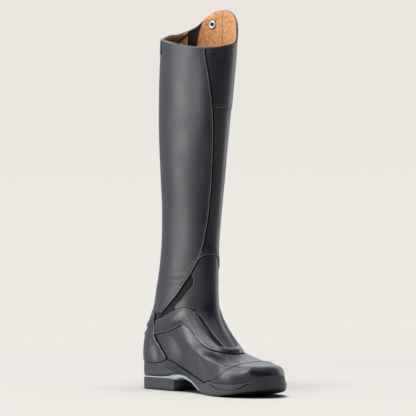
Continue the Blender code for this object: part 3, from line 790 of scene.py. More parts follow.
# sole tables: distance from the heel's back, height
soleSizes = {
    "cup": (
        (0, 38.0), (15, 37.0), (40, 35.0), (60, 36.7), (78, 40.6), (90, 38.4), (107, 32.0), (131, 24.2),
        (158, 17.2), (169, 15.0), (190, 18.8), (205, 17.4), (231, 17.0), (247, 17.6), (257, 20.3),
        (267, 26.3), (276, 29.2),
    ),
    "floor": (
        (0, 18.0), (57, 18.3), (76, 20.0), (88, 22.1), (97, 22.8), (107, 22.0), (120, 18.2), (134, 12.4),
        (146, 6.8), (151.6, 4.8), (152.2, 1.6), (160, 0.4), (168, 0.0), (204, 0.0), (220, 1.7),
        (235, 4.0), (255, 8.0), (270, 11.5), (276, 14.0),
    ),
    "plate": (
        (0, 15.7), (60, 16.0), (85, 15.1), (90, 14.5), (105, 18.2), (112, 16.7), (120, 15.2), (132, 11.0),
        (143, 7.0), (151.6, 3.9),
    ),
    # the lip along each side of the forefoot
    "lip": ((194, 15.0), (203, 11.8), (213, 9.8), (226, 9.2), (239, 9.8), (250, 12.4), (259, 18.0)),
    "lipDepth": 1.2,
    "lipStep": 0.8,
    "lipTuck": 0.85,  # share of its depth that is left at its top
    "underLip": (0.35, 0.7, 0.92),  # shares of the wall under the lip, and over it
    "overLip": (0.0, 0.15, 0.5, 0.85),
    "rimWall": 1.7,
    "setback": 0.5,
    "edgeRound": 3.0,
    "edgeSteps": 5,
    "brimRound": 1.2,
    "brimSteps": 4,
    "roundParts": 3,  # a rounding takes at most this part of the height
    "leastWall": 0.1,
    "solidSetback": 0.2,
    "leastHeight": 0.2,
    # inside of the cup: its wall and the seat under the foot
    "cupDepth": 1.5,
    "wallInset": 0.9,
    "seatRise": 0.4,
    "seatInset": 1.5,
    "seatUnder": 1.0,
    "gap": 0.3,
    "heelStart": 0.2,
    "heelEnd": 89,
    "plateStart": 0.4,
    "plateEnd": 151.2,
    "plateProud": 0.35,
    "step": 2.5,
    "endSteps": 15,
    "endClear": 0.3,
    "treadGrooves": (174, 188, 202, 216, 230, 244, 258),
    "heelGrooves": (26, 44, 62),
    "grooveWidth": 3.0,
    "grooveDepth": 2.2,
    "grooveMargin": 7.0,
    "grooveShares": (0.5, 0.995),  # of the way from the middle to the margin
    "grooveWall": 0.15,
    "grooveNudge": 0.12,
}
searchSizes = {"highest": 6.0, "halvings": 24}  # courses of the foot


def cupCourse(turn, margin):  # where the upper comes out of the sole's cup
    low, high = np.zeros_like(turn), np.full_like(turn, searchSizes["highest"])
    for _ in range(searchSizes["halvings"]):
        middle = (low + high) / 2
        points = bootSurface(middle, turn)
        under = points[..., 2] < curve(soleSizes["cup"], points[..., 0]) + margin
        low, high = np.where(under, middle, low), np.where(under, high, middle)
    return high


def footWidth(x, height, inner):  # half width of the upper at a distance and a height
    low, high = np.zeros_like(x), np.full_like(x, searchSizes["highest"])
    for _ in range(searchSizes["halvings"]):
        course = (low + high) / 2
        frontX, _, backX = courseValues(course)[:3]
        share = np.clip((frontX - x) / (frontX - backX), 0, 1)
        turn = np.arccos(1 - 2 * share) / math.pi
        points = bootSurface(course, np.where(inner, -turn, turn))
        under = points[..., 2] < height
        low, high = np.where(under, course, low), np.where(under, high, course)
    return np.abs(points[..., 1])


counterSizes = {
    "rows": 60, "columns": 110, "wall": 1.5, "edgeRound": 0.5, "lift": 0.45, "top": 8.2, "clear": 0.8,
    # course, distance in turn from the shin
    "front": ((1.0, 0.645), (2.0, 0.645), (3.3, 0.68), (4.7, 0.71), (6.3, 0.728), (8.4, 0.745)),
}


def counterSpot(up, across):
    side = 2 * across - 1
    low = cupCourse(1 + side * (1 - counterSizes["front"][0][1]), counterSizes["clear"])
    course = low + (counterSizes["top"] - low) * up
    return course, 1 + side * (1 - curve(counterSizes["front"], course))


panelPiece(
    "heelCounter", polishedCalf, "counter_leather", counterSizes, counterSpot, counterSizes["lift"],
    "heel_counter",
)

capSizes = {
    "rows": 44, "columns": 120, "wall": 1.2, "edgeRound": 0.45, "lift": 0.45,
    "centre": 0.03, "reach": 0.375, "clear": 0.6, "least": 0.12,
    # distance in turn from the cap's middle, course of its seam
    "seam": ((0.00, 5.8), (0.10, 5.5), (0.20, 4.6), (0.28, 3.4), (0.34, 2.3), (0.385, 1.6)),
}


def capSpot(up, across):
    offset = (2 * across - 1) * capSizes["reach"]
    turn = capSizes["centre"] + offset
    low = cupCourse(turn, capSizes["clear"])
    high = np.maximum(curve(capSizes["seam"], np.abs(offset)), low + capSizes["least"])
    return low + (high - low) * up, turn


panelPiece("toeCap", polishedCalf, "counter_leather", capSizes, capSpot, capSizes["lift"], "toe_cap")
print("counter and toe cap laid")

# piping round the counter's edge, in the lighter edge look that paints its highlight line
pipingSizes = {"radius": 0.85, "lift": 1.6, "samples": 90, "sides": 10, "low": 0.01, "top": 0.99}
over = np.linspace(-1, 1, pipingSizes["samples"])
climb = np.linspace(pipingSizes["low"], pipingSizes["top"], pipingSizes["samples"])
level = np.ones_like(over)
side = np.concatenate((-level, over, level))
rise = np.concatenate((climb, level, climb[::-1]))
course, turn = counterSpot(rise, (side + 1) / 2)
pipingLine = skin(course, turn, pipingSizes["lift"])
piping = tube(pipingLine, bootNormal(course, turn), pipingSizes["radius"], pipingSizes["sides"])
closeEnds(piping)
finishPiece("counterPiping", piping, wornEdge, "counter_leather")

# two spur rests on the counter's back
spurSizes = {
    "courses": (6.6, 5.3), "reach": 0.21, "depth": 2.4, "height": 0.8, "steps": 60, "seat": 1.6,
    "fade": 0.75, "fadePower": 3,
    # share of half the height, share of the depth
    "section": (
        (-1.0, 0.0), (-1.02, 0.6), (-0.98, 0.9), (-0.85, 1.0), (-0.65, 1.0), (0.2, 0.6), (1.0, 0.15),
        (1.05, 0.0),
    ),
}


def spurRest(name, middle, node):
    along = np.linspace(-1, 1, spurSizes["steps"] + 1)[:, None]
    section = np.array(spurSizes["section"] + spurSizes["section"][:1])
    depth = spurSizes["depth"] * (1 - spurSizes["fade"] * np.abs(along) ** spurSizes["fadePower"])
    course = middle + section[:, 0] * spurSizes["height"] / 2 + along * 0
    turn = 1 + along * spurSizes["reach"] + section[:, 0] * 0
    shape = layGrid(skin(course, turn, spurSizes["seat"] + section[:, 1] * depth))
    closeEnds(shape)
    finishPiece(name, shape, spurRubber, "spur_rubber", node)


spurRest("spurRestUpper", spurSizes["courses"][0], "spur_rest_upper")
spurRest("spurRestLower", spurSizes["courses"][1], "spur_rest_lower")


# sole, plate and heel are rings of heights along the foot
def stationsAlong(start, end, grooves):
    length = bootForm["soleLength"]
    closing = 1 - np.cos(np.linspace(0, math.pi / 2, soleSizes["endSteps"]))
    half, nudge = soleSizes["grooveWidth"] / 2, soleSizes["grooveNudge"]
    walls = (-half - nudge, -half + nudge, half - nudge, half + nudge)
    places = np.concatenate((
        length * bootForm["heelRound"] * closing,
        np.arange(length * bootForm["heelRound"], length * bootForm["toeRound"], soleSizes["step"]),
        length * (1 - (1 - bootForm["toeRound"]) * closing),
        [groove + wall for groove in grooves for wall in walls],
    ))
    clear = soleSizes["endClear"]
    places = np.unique(np.round(places[(places > start + clear) & (places < end - clear)], 3))
    return np.concatenate(([start], places, [end]))


def roundCorner(fromY, fromZ, toY, toZ, steps, bulge):  # quarter round between two heights
    angle = np.linspace(0, math.pi / 2, steps)
    if bulge == "under":
        return [(fromY + (toY - fromY) * math.sin(a), toZ + (fromZ - toZ) * math.cos(a)) for a in angle]
    return [(toY + (fromY - toY) * math.cos(a), fromZ + (toZ - fromZ) * math.sin(a)) for a in angle]


def halfRing(x, low, high, edge, brim, grooves, bulge, lip, inside):
    bevel = np.minimum(soleSizes["edgeRound"], (high - low) / soleSizes["roundParts"])
    crown = np.minimum(soleSizes["brimRound"], (high - low) / soleSizes["roundParts"])
    margin = np.maximum(edge - soleSizes["grooveMargin"], 0)
    sunk = np.zeros_like(x)
    for groove in grooves:
        sunk = np.where(np.abs(x - groove) < soleSizes["grooveWidth"] / 2, soleSizes["grooveDepth"], sunk)
    flat = np.maximum(edge - bevel, 0)
    side = [(0 * x, low + sunk)] + [(margin * share, low + sunk) for share in soleSizes["grooveShares"]]
    side += [(np.minimum(margin + soleSizes["grooveWall"], flat), low), (flat, low)]
    side += roundCorner(flat, low, edge + bulge, low + bevel, soleSizes["edgeSteps"], "under")[1:]
    for share in soleSizes["underLip"]:
        side.append((edge + bulge, low + bevel + (lip - low - bevel) * share))
    side.append((edge + bulge * soleSizes["lipTuck"], lip))
    slope = (brim - edge) / np.maximum(high - low - bevel - crown, soleSizes["leastWall"])
    for share in soleSizes["overLip"]:
        z = np.minimum(lip + soleSizes["lipStep"], high - crown) * (1 - share) + (high - crown) * share
        side.append((edge + slope * (z - low - bevel), z))
    side += roundCorner(brim, high - crown, np.maximum(brim - crown, 0), high, soleSizes["brimSteps"], "over")
    return side + inside


def soleBlock(
    name, look, slotName, node, start, end, low, high, grooves=(), lipped=False, hollow=False, proud=0.0,
):
    x = stationsAlong(start, end, grooves)
    low = low(x)
    high = np.maximum(high(x), low + soleSizes["leastHeight"])
    sides = []
    for inner in (False, True):
        edge = soleHalfWidth(x / bootForm["soleLength"], inner)
        edge = edge + proud * (edge > 0)
        brim = np.maximum(edge - soleSizes["solidSetback"], 0)
        if hollow:
            rimEdge = footWidth(x, high, inner) + soleSizes["rimWall"]
            brim = np.where(edge > 0, np.maximum(edge - soleSizes["setback"], rimEdge), 0)
        first, last = soleSizes["lip"][0][0], soleSizes["lip"][-1][0]
        share = np.clip((x - first) / (last - first), 0, 1)
        bulge = soleSizes["lipDepth"] * np.sqrt(np.sin(math.pi * share).clip(0)) * lipped
        lip = np.where((share > 0) & (share < 1) & lipped, curve(soleSizes["lip"], x), (low + high) / 2)
        inside = [(0 * x, high)]
        if hollow:
            feather = curve(bootForm["feather"], x) - soleSizes["gap"]
            inTop = high - soleSizes["cupDepth"]
            wall = np.maximum(footWidth(x, inTop, inner) - soleSizes["wallInset"], 0) * (edge > 0)
            seat = footWidth(x, feather + soleSizes["seatRise"], inner) - soleSizes["seatInset"]
            seat = np.maximum(seat, 0) * (edge > 0)
            feather = np.minimum(feather, high - soleSizes["seatUnder"])
            inside = [(np.minimum(wall, brim), inTop), (np.minimum(seat, brim), feather), (0 * x, feather)]
        half = halfRing(x, low, high, edge, brim, grooves, bulge, lip, inside)
        sides.append([(y * (-1 if inner else 1), z) for y, z in half])
    ring = sides[0] + sides[1][::-1]
    points = np.stack([np.stack((x, y, z), -1) for y, z in ring], 1)
    shape = layGrid(np.concatenate((points, points[:, :1]), 1))
    closeEnds(shape)
    finishPiece(name, shape, look, slotName, node)


soleBlock(
    "soleUnit", soleRubber, "sole_rubber", "sole_unit", 0.0, bootForm["soleLength"],
    lambda x: curve(soleSizes["floor"], x), lambda x: curve(soleSizes["cup"], x),
    soleSizes["treadGrooves"], lipped=True, hollow=True,
)
soleBlock(
    "archPlate", archNylon, "arch_nylon", "arch_plate", soleSizes["plateStart"], soleSizes["plateEnd"],
    lambda x: curve(soleSizes["plate"], x), lambda x: curve(soleSizes["floor"], x) - soleSizes["gap"],
    proud=soleSizes["plateProud"],
)
soleBlock(
    "heelBlock", heelRubber, "heel_rubber", "heel_block", soleSizes["heelStart"], soleSizes["heelEnd"],
    lambda x: 0 * x, lambda x: curve(soleSizes["plate"], x) - soleSizes["gap"], soleSizes["heelGrooves"],
)

# footbed inside
footbedSizes = {
    "columns": 120, "inset": 2.8, "thick": 3.4,
    # share of the way out from its middle line, share of its thickness
    "section": ((0.0, 0.0), (1.0, 0.0), (1.0, 1.0), (0.97, 1.3), (0.6, 1.0), (0.0, 1.0)),
}
turn = np.linspace(-1, 1, footbedSizes["columns"] + 1)
outline = bootSurface(0.0, turn) - bootNormal(np.zeros_like(turn), turn) * footbedSizes["inset"]
middle = np.stack((outline[:, 0], 0 * turn, outline[:, 2]), -1)
middle[:, 0] = (outline[:, 0] + outline[::-1, 0]) / 2
layers = []
for reach, height in footbedSizes["section"]:
    layer = middle + (outline - middle) * reach
    layer[:, 2] = curve(bootForm["feather"], layer[:, 0]) + footbedSizes["thick"] * height
    layers.append(layer)
footbed = layGrid(np.stack(layers))
closeEnds(footbed)
finishPiece("footbed", footbed, tanSuede, "insole_leather", "insole")
print("sole laid")

# back strip with a tab at its top
stripSizes = {
    "rows": 130, "columns": 14, "wall": 0.5, "edgeRound": 0.2, "lift": 1.6,
    "half": 0.062, "low": 8.5, "top": 21.9,
}
tabSizes = {
    "rows": 18, "columns": 60, "wall": 0.7, "edgeRound": 0.25, "lift": 1.6,
    "inner": 0.312, "outer": 0.155, "low": 21.36, "top": 21.96, "corner": 0.06, "cornerPower": 4,
}


def stripSpot(up, across):
    course = stripSizes["low"] + (stripSizes["top"] - stripSizes["low"]) * up
    return course, 1 + (2 * across - 1) * stripSizes["half"]


def tabSpot(up, across):
    narrow = 1 - tabSizes["corner"] * np.abs(2 * up - 1) ** tabSizes["cornerPower"]
    reach = (tabSizes["inner"] + tabSizes["outer"]) * across - tabSizes["outer"]
    return tabSizes["low"] + (tabSizes["top"] - tabSizes["low"]) * up, 1 + reach * narrow


panelPiece("backStrip", blackCalf, "black_leather", stripSizes, stripSpot, stripSizes["lift"])
panelPiece("backTab", blackCalf, "black_leather", tabSizes, tabSpot, tabSizes["lift"])

# inside of the raised rim: snap, seam, elastic gore and the guard behind the back opening
snapSizes = {
    "course": 21.58, "turn": 0.623, "depth": 2.9, "steps": 40,
    # radius, height
    "profile": (
        (0.0, 0.15), (2.2, 0.15), (2.3, 1.0), (2.8, 1.4), (3.2, 1.35), (3.7, 0.9), (4.4, 0.85), (5.0, 1.1),
        (5.5, 0.95), (5.85, 0.4), (5.9, 0.0), (0.0, 0.0),
    ),
    "merge": 0.005,
    "hole": 2.15,
    "holeHeight": 0.3,
    "holeSides": 24,
    "rim": 6.25,
    "rimCord": 0.5,
    "tilt": 0.12,
}
course, turn = (np.array([snapSizes[name]]) for name in ("course", "turn"))
outwards = Vector(bootNormal(course, turn)[0])
inwards = -outwards + Vector((snapSizes["tilt"], 0, 0))  # the snap leans a little to the front
snapPlace = Vector(toFrame(bootSurface(course, turn)[0])) - outwards * snapSizes["depth"] * mm
snapSeat = Matrix.Translation(snapPlace) @ inwards.to_track_quat("Z", "Y").to_matrix().to_4x4()

snap = bmesh.new()
corners = [snap.verts.new((radius * mm, 0, height * mm)) for radius, height in snapSizes["profile"]]
edges = [snap.edges.new(pair) for pair in zip(corners, corners[1:])]
bmesh.ops.spin(
    snap, geom=corners + edges, cent=(0, 0, 0), axis=(0, 0, 1), angle=math.tau, steps=snapSizes["steps"],
    use_merge=True,
)
bmesh.ops.remove_doubles(snap, verts=snap.verts, dist=snapSizes["merge"] * mm)
closeEnds(snap)
bmesh.ops.transform(snap, matrix=snapSeat, verts=snap.verts)
finishPiece("snapSocket", snap, snapSteel, "snap_metal", "snap_socket")

# painted shade: a near-black ring round the snap, and a near-black disc for the shade in its hole
around = np.linspace(0, math.tau, snapSizes["steps"] + 1)
section = np.linspace(0, math.tau, meshSizes["cordSides"] + 1)[:, None]
reach = snapSizes["rim"] + snapSizes["rimCord"] * np.cos(section)
rise = snapSizes["rimCord"] * np.sin(section) + 0 * around
ring = np.stack((reach * np.cos(around), reach * np.sin(around), rise), -1) * mm
seated = ring @ np.array(snapSeat.to_3x3()).T + np.array(snapSeat.translation)
outline = layGrid((seated - frameZero) / mm)
bmesh.ops.recalc_face_normals(outline, faces=outline.faces)
finishPiece("snapShadeRing", outline, seamShade, "snap_metal")
hole = bmesh.new()
bmesh.ops.create_cone(
    hole, cap_ends=True, segments=snapSizes["holeSides"],
    radius1=snapSizes["hole"] * mm, radius2=snapSizes["hole"] * mm, depth=snapSizes["holeHeight"] * mm,
    matrix=snapSeat @ Matrix.Translation((0, 0, snapSizes["holeHeight"] * mm)),
)
finishPiece("snapHoleShade", hole, seamShade, "snap_metal")


def innerPanel(name, look, slotName, sizes, spot, depth):
    up, across = panelShares(sizes)
    course, turn = spot(up, across)
    inside = depth(up, across)[..., None] if callable(depth) else depth
    points = bootSurface(course, turn) - bootNormal(course, turn) * inside
    piece = finishPiece(name, layGrid(points), look, slotName)
    addWall(piece, sizes["wall"], -1, sizes["edgeRound"])


rimGoreSizes = {
    "rows": 90, "columns": 44, "wall": 0.4, "edgeRound": 0.0, "depth": 2.2, "rib": 0.25, "ribs": 11,
    "low": 13.0, "top": 21.97,
    # course, front and back turn
    "edges": (
        (13.0, 0.79, 0.97), (18.0, 0.77, 0.97), (21.28, 0.76, 0.97), (21.64, 0.752, 0.965),
        (21.72, 0.748, 0.955), (21.78, 0.744, 0.91), (21.84, 0.738, 0.885), (21.97, 0.722, 0.845),
    ),
}


def rimGoreSpot(up, across):
    course = rimGoreSizes["low"] + (rimGoreSizes["top"] - rimGoreSizes["low"]) * up
    front, back = (curve(rimGoreSizes["edges"], course, column) for column in (1, 2))
    return course, front + (back - front) * across


def rimGoreDepth(up, across):
    return rimGoreSizes["depth"] + ribHeight(rimGoreSizes, across)


innerPanel("rimGore", blackElastic, "black_leather", rimGoreSizes, rimGoreSpot, rimGoreDepth)

guardSizes = {
    "rows": 90, "columns": 16, "wall": 0.9, "edgeRound": 0.3, "depth": 3.2,
    "low": 10.0, "front": 0.848, "back": 0.995,
    # turn, course of its slanting top
    "top": ((0.848, 21.77), (0.89, 21.70), (0.9275, 21.64), (0.995, 21.5)),
}


def guardSpot(up, across):
    turn = guardSizes["front"] + (guardSizes["back"] - guardSizes["front"]) * across
    return guardSizes["low"] + (curve(guardSizes["top"], turn) - guardSizes["low"]) * up, turn


# painted shade: a thin sheet of the darker lining copy laid just inside the back, where the inner wall lies
# in shade
shadeSheetSizes = {
    "rows": 60, "columns": 30, "wall": 0.3, "edgeRound": 0.0, "depth": 2.15,
    "low": 12.0, "top": 21.93, "front": 0.90, "back": 1.28,
}


def shadeSheetSpot(up, across):
    course = shadeSheetSizes["low"] + (shadeSheetSizes["top"] - shadeSheetSizes["low"]) * up
    return course, shadeSheetSizes["front"] + (shadeSheetSizes["back"] - shadeSheetSizes["front"]) * across


innerPanel("backShadeSheet", paintedShadeSuede, "insole_leather", shadeSheetSizes, shadeSheetSpot, shadeSheetSizes["depth"])
innerPanel("openingGuard", tanSuede, "insole_leather", guardSizes, guardSpot, guardSizes["depth"])
guardEdge = {"samples": 50, "radius": 0.8, "depth": 3.6, "sides": 10}
course, turn = guardSpot(np.ones(guardEdge["samples"]), np.linspace(0, 1, guardEdge["samples"]))
normals = bootNormal(course, turn)
edgeLine = bootSurface(course, turn) - normals * guardEdge["depth"]
edgeCord = tube(edgeLine, normals, guardEdge["radius"], guardEdge["sides"])
closeEnds(edgeCord)
finishPiece("guardEdge", edgeCord, blackCalf, "black_leather")

seamSizes = {
    "radius": 0.55, "depth": 2.2, "samples": 120,
    # course, turn
    "rows": ((21.96, 0.532), (21.36, 0.508), (20.0, 0.49), (15.0, 0.47)),
}
course, turn = alongRows(seamSizes["rows"], seamSizes["samples"])
normals = bootNormal(course, turn)
seamCord = tube(bootSurface(course, turn) - normals * seamSizes["depth"], normals, seamSizes["radius"])
closeEnds(seamCord)
finishPiece("liningSeam", seamCord, brownThread, "insole_leather")
print("inside of the rim laid")

# stitches: short rounded lengths of thread along the seams
stitchSizes = {"pitch": 3.4, "length": 2.5, "width": 0.62, "height": 0.42, "samples": 360, "ahead": 0.3}
stitchShape = bmesh.new()
bmesh.ops.create_uvsphere(stitchShape, u_segments=6, v_segments=5, radius=0.5)
lieDown = Matrix.Rotation(math.pi / 2, 3, "Y")
bmesh.ops.rotate(stitchShape, verts=stitchShape.verts, cent=(0, 0, 0), matrix=lieDown)
stretch = [stitchSizes[name] * mm for name in ("length", "width", "height")]
bmesh.ops.scale(stitchShape, verts=stitchShape.verts, vec=stretch)
stitchMesh = bpy.data.meshes.new("stitch")
stitchShape.to_mesh(stitchMesh)
stitchShape.free()


def sewAlong(shape, course, turn, lift, sideways=0.0):
    if sideways:
        course, turn = sideStep(course, turn, sideways)
    points = toFrame(skin(course, turn, lift))
    normals = bootNormal(course, turn)
    reach = np.concatenate(([0], np.cumsum(np.linalg.norm(np.diff(points, axis=0), axis=1))))
    pitch, ahead = stitchSizes["pitch"] * mm, stitchSizes["ahead"] * mm
    for distance in np.arange(pitch / 2, reach[-1], pitch):
        here, there, up = (
            Vector([np.interp(where, reach, values[:, axis]) for axis in range(3)])
            for where, values in ((distance, points), (distance + ahead, points), (distance, normals))
        )
        forward = (there - here).normalized()
        across = up.cross(forward).normalized()
        lie = Matrix((forward, across, forward.cross(across))).transposed().to_4x4()
        count = len(shape.verts)
        shape.from_mesh(stitchMesh)
        shape.verts.ensure_lookup_table()
        bmesh.ops.transform(shape, matrix=Matrix.Translation(here) @ lie, verts=shape.verts[count:])


def alongEdge(table, ends, side, column=1):  # course, turn along a table of edge turns
    course = np.linspace(*ends, stitchSizes["samples"])
    return course, side * curve(table, course, column)


def topOf(sizes):  # height of a panel's outside over the skin
    return sizes["lift"] + sizes["wall"]


# where the leg's seams run in course or turn, and how far beside the edge in mm
legSeams = {
    "calf": (9.2, 21.7), "calfAside": 2.2,
    "strip": (8.8, 21.1), "stripTurn": 0.945,
    "hem": 0.26, "hemRows": (4.6, 2.0), "hemSink": 0.1,
    "band": 0.16, "bandRise": 0.1,
    # under the rim: course, start and end turn, height over the skin
    "rim": (
        (21.76, -0.8, -0.25, topOf(calfSizes)),
        (21.76, -0.22, 0.22, bandSizes["topLift"] + bandSizes["wall"]),
        (21.84, 0.26, 0.8, topOf(outerCalfSizes)),
    ),
}
legThread = bmesh.new()
for side, sizes in ((-1, calfSizes), (1, outerCalfSizes)):
    course, turn = alongEdge(sizes["edge"], legSeams["calf"], side)
    sewAlong(legThread, course, turn, topOf(sizes), -legSeams["calfAside"] * side)
    course = np.linspace(*legSeams["strip"], stitchSizes["samples"])
    sewAlong(legThread, course, np.full_like(course, legSeams["stripTurn"] * side), topOf(stripSizes))
hemTurn = np.linspace(-legSeams["hem"], legSeams["hem"], stitchSizes["samples"])
hemCourse = curve(shinSizes["hem"], hemTurn)
for aside in legSeams["hemRows"]:
    hemTop = shinSizes["hemLift"] + shinSizes["wall"] - legSeams["hemSink"]
    sewAlong(legThread, hemCourse, hemTurn, hemTop, aside)
turn = np.linspace(-legSeams["band"], legSeams["band"], stitchSizes["samples"])
sewAlong(legThread, np.full_like(turn, bandSizes["low"] + legSeams["bandRise"]), turn, topOf(bandSizes))
for rimCourse, start, end, height in legSeams["rim"]:
    turn = np.linspace(start, end, stitchSizes["samples"])
    sewAlong(legThread, np.full_like(turn, rimCourse), turn, height)
finishPiece("legStitches", legThread, blackThread, "black_leather")

footSeams = {
    "saddle": (0.02, 0.70),
    # height over the saddle's edge, distance from it
    "saddleHigh": ((0.6, 2.0), (0.9, 4.4)), "saddleLow": (0.6, 2.2),
    "ankle": (10.4, 13.4), "ankleAside": 2.2,
    "gore": (8.0, 10.8), "goreRows": (2.2, 4.8),
    "counter": (2.5, 8.0), "counterAside": 3.0,
    "cap": 0.36, "capRows": (2.0, 4.4),
}
goreFront = 2  # its column in the gore's table of edges
footThread = bmesh.new()
for side in (-1, 1):
    turn = side * np.linspace(*footSeams["saddle"], stitchSizes["samples"])
    high, low = curve(saddleSizes["high"], np.abs(turn)), curve(saddleSizes["low"], turn)
    for height, aside in footSeams["saddleHigh"]:
        sewAlong(footThread, high, turn, topOf(saddleSizes) + height, -aside * side)
    height, aside = footSeams["saddleLow"]
    sewAlong(footThread, low, turn, topOf(saddleSizes) + height, aside * side)
    course, turn = alongEdge(ankleSizes["edge"], footSeams["ankle"], side)
    sewAlong(footThread, course, turn, topOf(ankleSizes), footSeams["ankleAside"] * side)
    course, turn = alongEdge(goreSizes["edges"], footSeams["gore"], side, goreFront)
    for aside in footSeams["goreRows"]:
        sewAlong(footThread, course, turn, topOf(ankleSizes), aside * side)
    course, turn = alongEdge(counterSizes["front"], footSeams["counter"], side)
    sewAlong(footThread, course, turn, topOf(counterSizes), -footSeams["counterAside"] * side)
capOffset = np.linspace(-footSeams["cap"], footSeams["cap"], stitchSizes["samples"])
capCourse, capTurn = curve(capSizes["seam"], np.abs(capOffset)), capSizes["centre"] + capOffset
for aside in footSeams["capRows"]:
    sewAlong(footThread, capCourse, capTurn, topOf(capSizes), -aside)
finishPiece("footStitches", footThread, blackThread, "black_leather")
print("stitches sewn")

# rolled edges of the panels, in a lighter look that paints their highlight line, and near-black cords of
# painted shade in the gaps and grooves beside them
edgeSizes = {
    "roll": 0.75, "rollLift": 1.1, "gap": 0.5, "gapLift": 0.3, "gapAside": 1.1, "groove": 0.45,
    "calf": (9.06, 21.9), "calfGap": 1.0, "calfGapSink": 0.25, "calfGapAside": 1.3,
    # the soft ridge behind the calf panel's edge
    "ridge": 0.7, "ridgeEnds": (9.3, 13.6), "ridgeSink": 0.2, "ridgeFade": 0.7, "ridgeAside": -4.2,
    # the painted shade cord in the gap above the saddle stands over the gore, and its lower edge has a sewn
    # groove drawn in painted shade
    "saddle": 0.705, "saddleRise": 0.3, "saddleGapLift": 0.9, "saddleGap": 0.75,
    "sewnLift": 0.3, "sewnAside": 2.4,
    "ankle": (10.35, 13.4), "ankleRoll": 0.7, "ankleLift": 0.7, "ankleGapLift": 0.1, "ankleAside": 1.0,
    "gore": (7.9, 10.88), "goreLift": 1.15,
    "counter": (1.9, 8.15), "wideGap": 0.55, "counterAside": 1.4,
    "capRoll": 0.6, "capGrooveSink": 0.15, "capGrooveAside": -3.2,
    # lower edges of the shin panel and of the band under the rim
    "hemRoll": 0.5, "hemRise": 0.35, "hemGapLift": 0.7, "hemAside": -0.8,
    "cupGap": 0.7, "cupGapLift": 0.4, "cupClear": 0.9, "tabGap": 0.6,
    # the painted shade line in the groove over the sole's lip
    "lipClear": 1.0, "lipProud": 0.2, "lipShare": 0.5, "lipRise": 0.45,
}


def addCord(shape, cord):
    closeEnds(cord)
    mesh = bpy.data.meshes.new("cord")
    cord.to_mesh(mesh)
    cord.free()
    shape.from_mesh(mesh)
    bpy.data.meshes.remove(mesh)


def cordInto(shape, course, turn, lift, radius, sideways=0.0):
    if sideways:
        course, turn = sideStep(course, turn, sideways)
    addCord(shape, tube(skin(course, turn, lift), bootNormal(course, turn), radius))


def overlayTop(course):  # how high the shin pieces stand beside the calf panel
    share = (course - bandSizes["low"]) / (calfSizes["top"] - bandSizes["low"])
    band = bandLift(np.clip(share, 0, 1), 0) + bandSizes["wall"]
    return np.where(course < bandSizes["low"], topOf(shinSizes), band)


# near-black cords of painted shade gather in the second mesh, the rolled edges in the first
rolls, shadeCords = bmesh.new(), bmesh.new()


def calfEdgeCords(side, sizes):
    course, turn = alongEdge(sizes["edge"], edgeSizes["calf"], side)
    cordInto(rolls, course, turn, edgeSizes["rollLift"], edgeSizes["roll"])
    height = overlayTop(course) - edgeSizes["calfGapSink"]
    cordInto(shadeCords, course, turn, height, edgeSizes["calfGap"], edgeSizes["calfGapAside"] * side)
    course, turn = alongEdge(sizes["edge"], edgeSizes["ridgeEnds"], side)
    fade = edgeSizes["ridgeFade"] * np.clip(course - edgeSizes["ridgeEnds"][1] + 1, 0, 1)
    height = topOf(sizes) - edgeSizes["ridgeSink"] - fade
    cordInto(rolls, course, turn, height, edgeSizes["ridge"], edgeSizes["ridgeAside"] * side)


def saddleEdgeCords(side):
    turn = side * np.linspace(0.0, edgeSizes["saddle"], stitchSizes["samples"])
    low, high = curve(saddleSizes["low"], turn), curve(saddleSizes["high"], np.abs(turn))
    aside = edgeSizes["gapAside"] * side
    sewn = topOf(saddleSizes) + edgeSizes["sewnLift"]
    cordInto(rolls, low, turn, edgeSizes["rollLift"], edgeSizes["roll"])
    cordInto(shadeCords, low, turn, edgeSizes["gapLift"], edgeSizes["gap"], -aside)
    cordInto(rolls, high, turn, edgeSizes["rollLift"] + edgeSizes["saddleRise"], edgeSizes["roll"])
    cordInto(shadeCords, high, turn, edgeSizes["saddleGapLift"], edgeSizes["saddleGap"], aside)
    cordInto(shadeCords, low, turn, sewn, edgeSizes["groove"], edgeSizes["sewnAside"] * side)


def ankleEdgeCords(side):
    course, turn = alongEdge(ankleSizes["edge"], edgeSizes["ankle"], side)
    cordInto(rolls, course, turn, edgeSizes["ankleLift"], edgeSizes["ankleRoll"])
    cordInto(shadeCords, course, turn, edgeSizes["ankleGapLift"], edgeSizes["gap"], -edgeSizes["ankleAside"] * side)
    course, turn = alongEdge(goreSizes["edges"], edgeSizes["gore"], side, goreFront)
    cordInto(rolls, course, turn, edgeSizes["goreLift"], edgeSizes["ankleRoll"])
    course, turn = alongEdge(counterSizes["front"], edgeSizes["counter"], side)
    cordInto(shadeCords, course, turn, edgeSizes["gapLift"], edgeSizes["wideGap"], edgeSizes["counterAside"] * side)


def hemCords(course, turn, lift):
    cordInto(rolls, course, turn, lift + edgeSizes["hemRise"], edgeSizes["hemRoll"])
    cordInto(shadeCords, course, turn, edgeSizes["hemGapLift"], edgeSizes["groove"], edgeSizes["hemAside"])


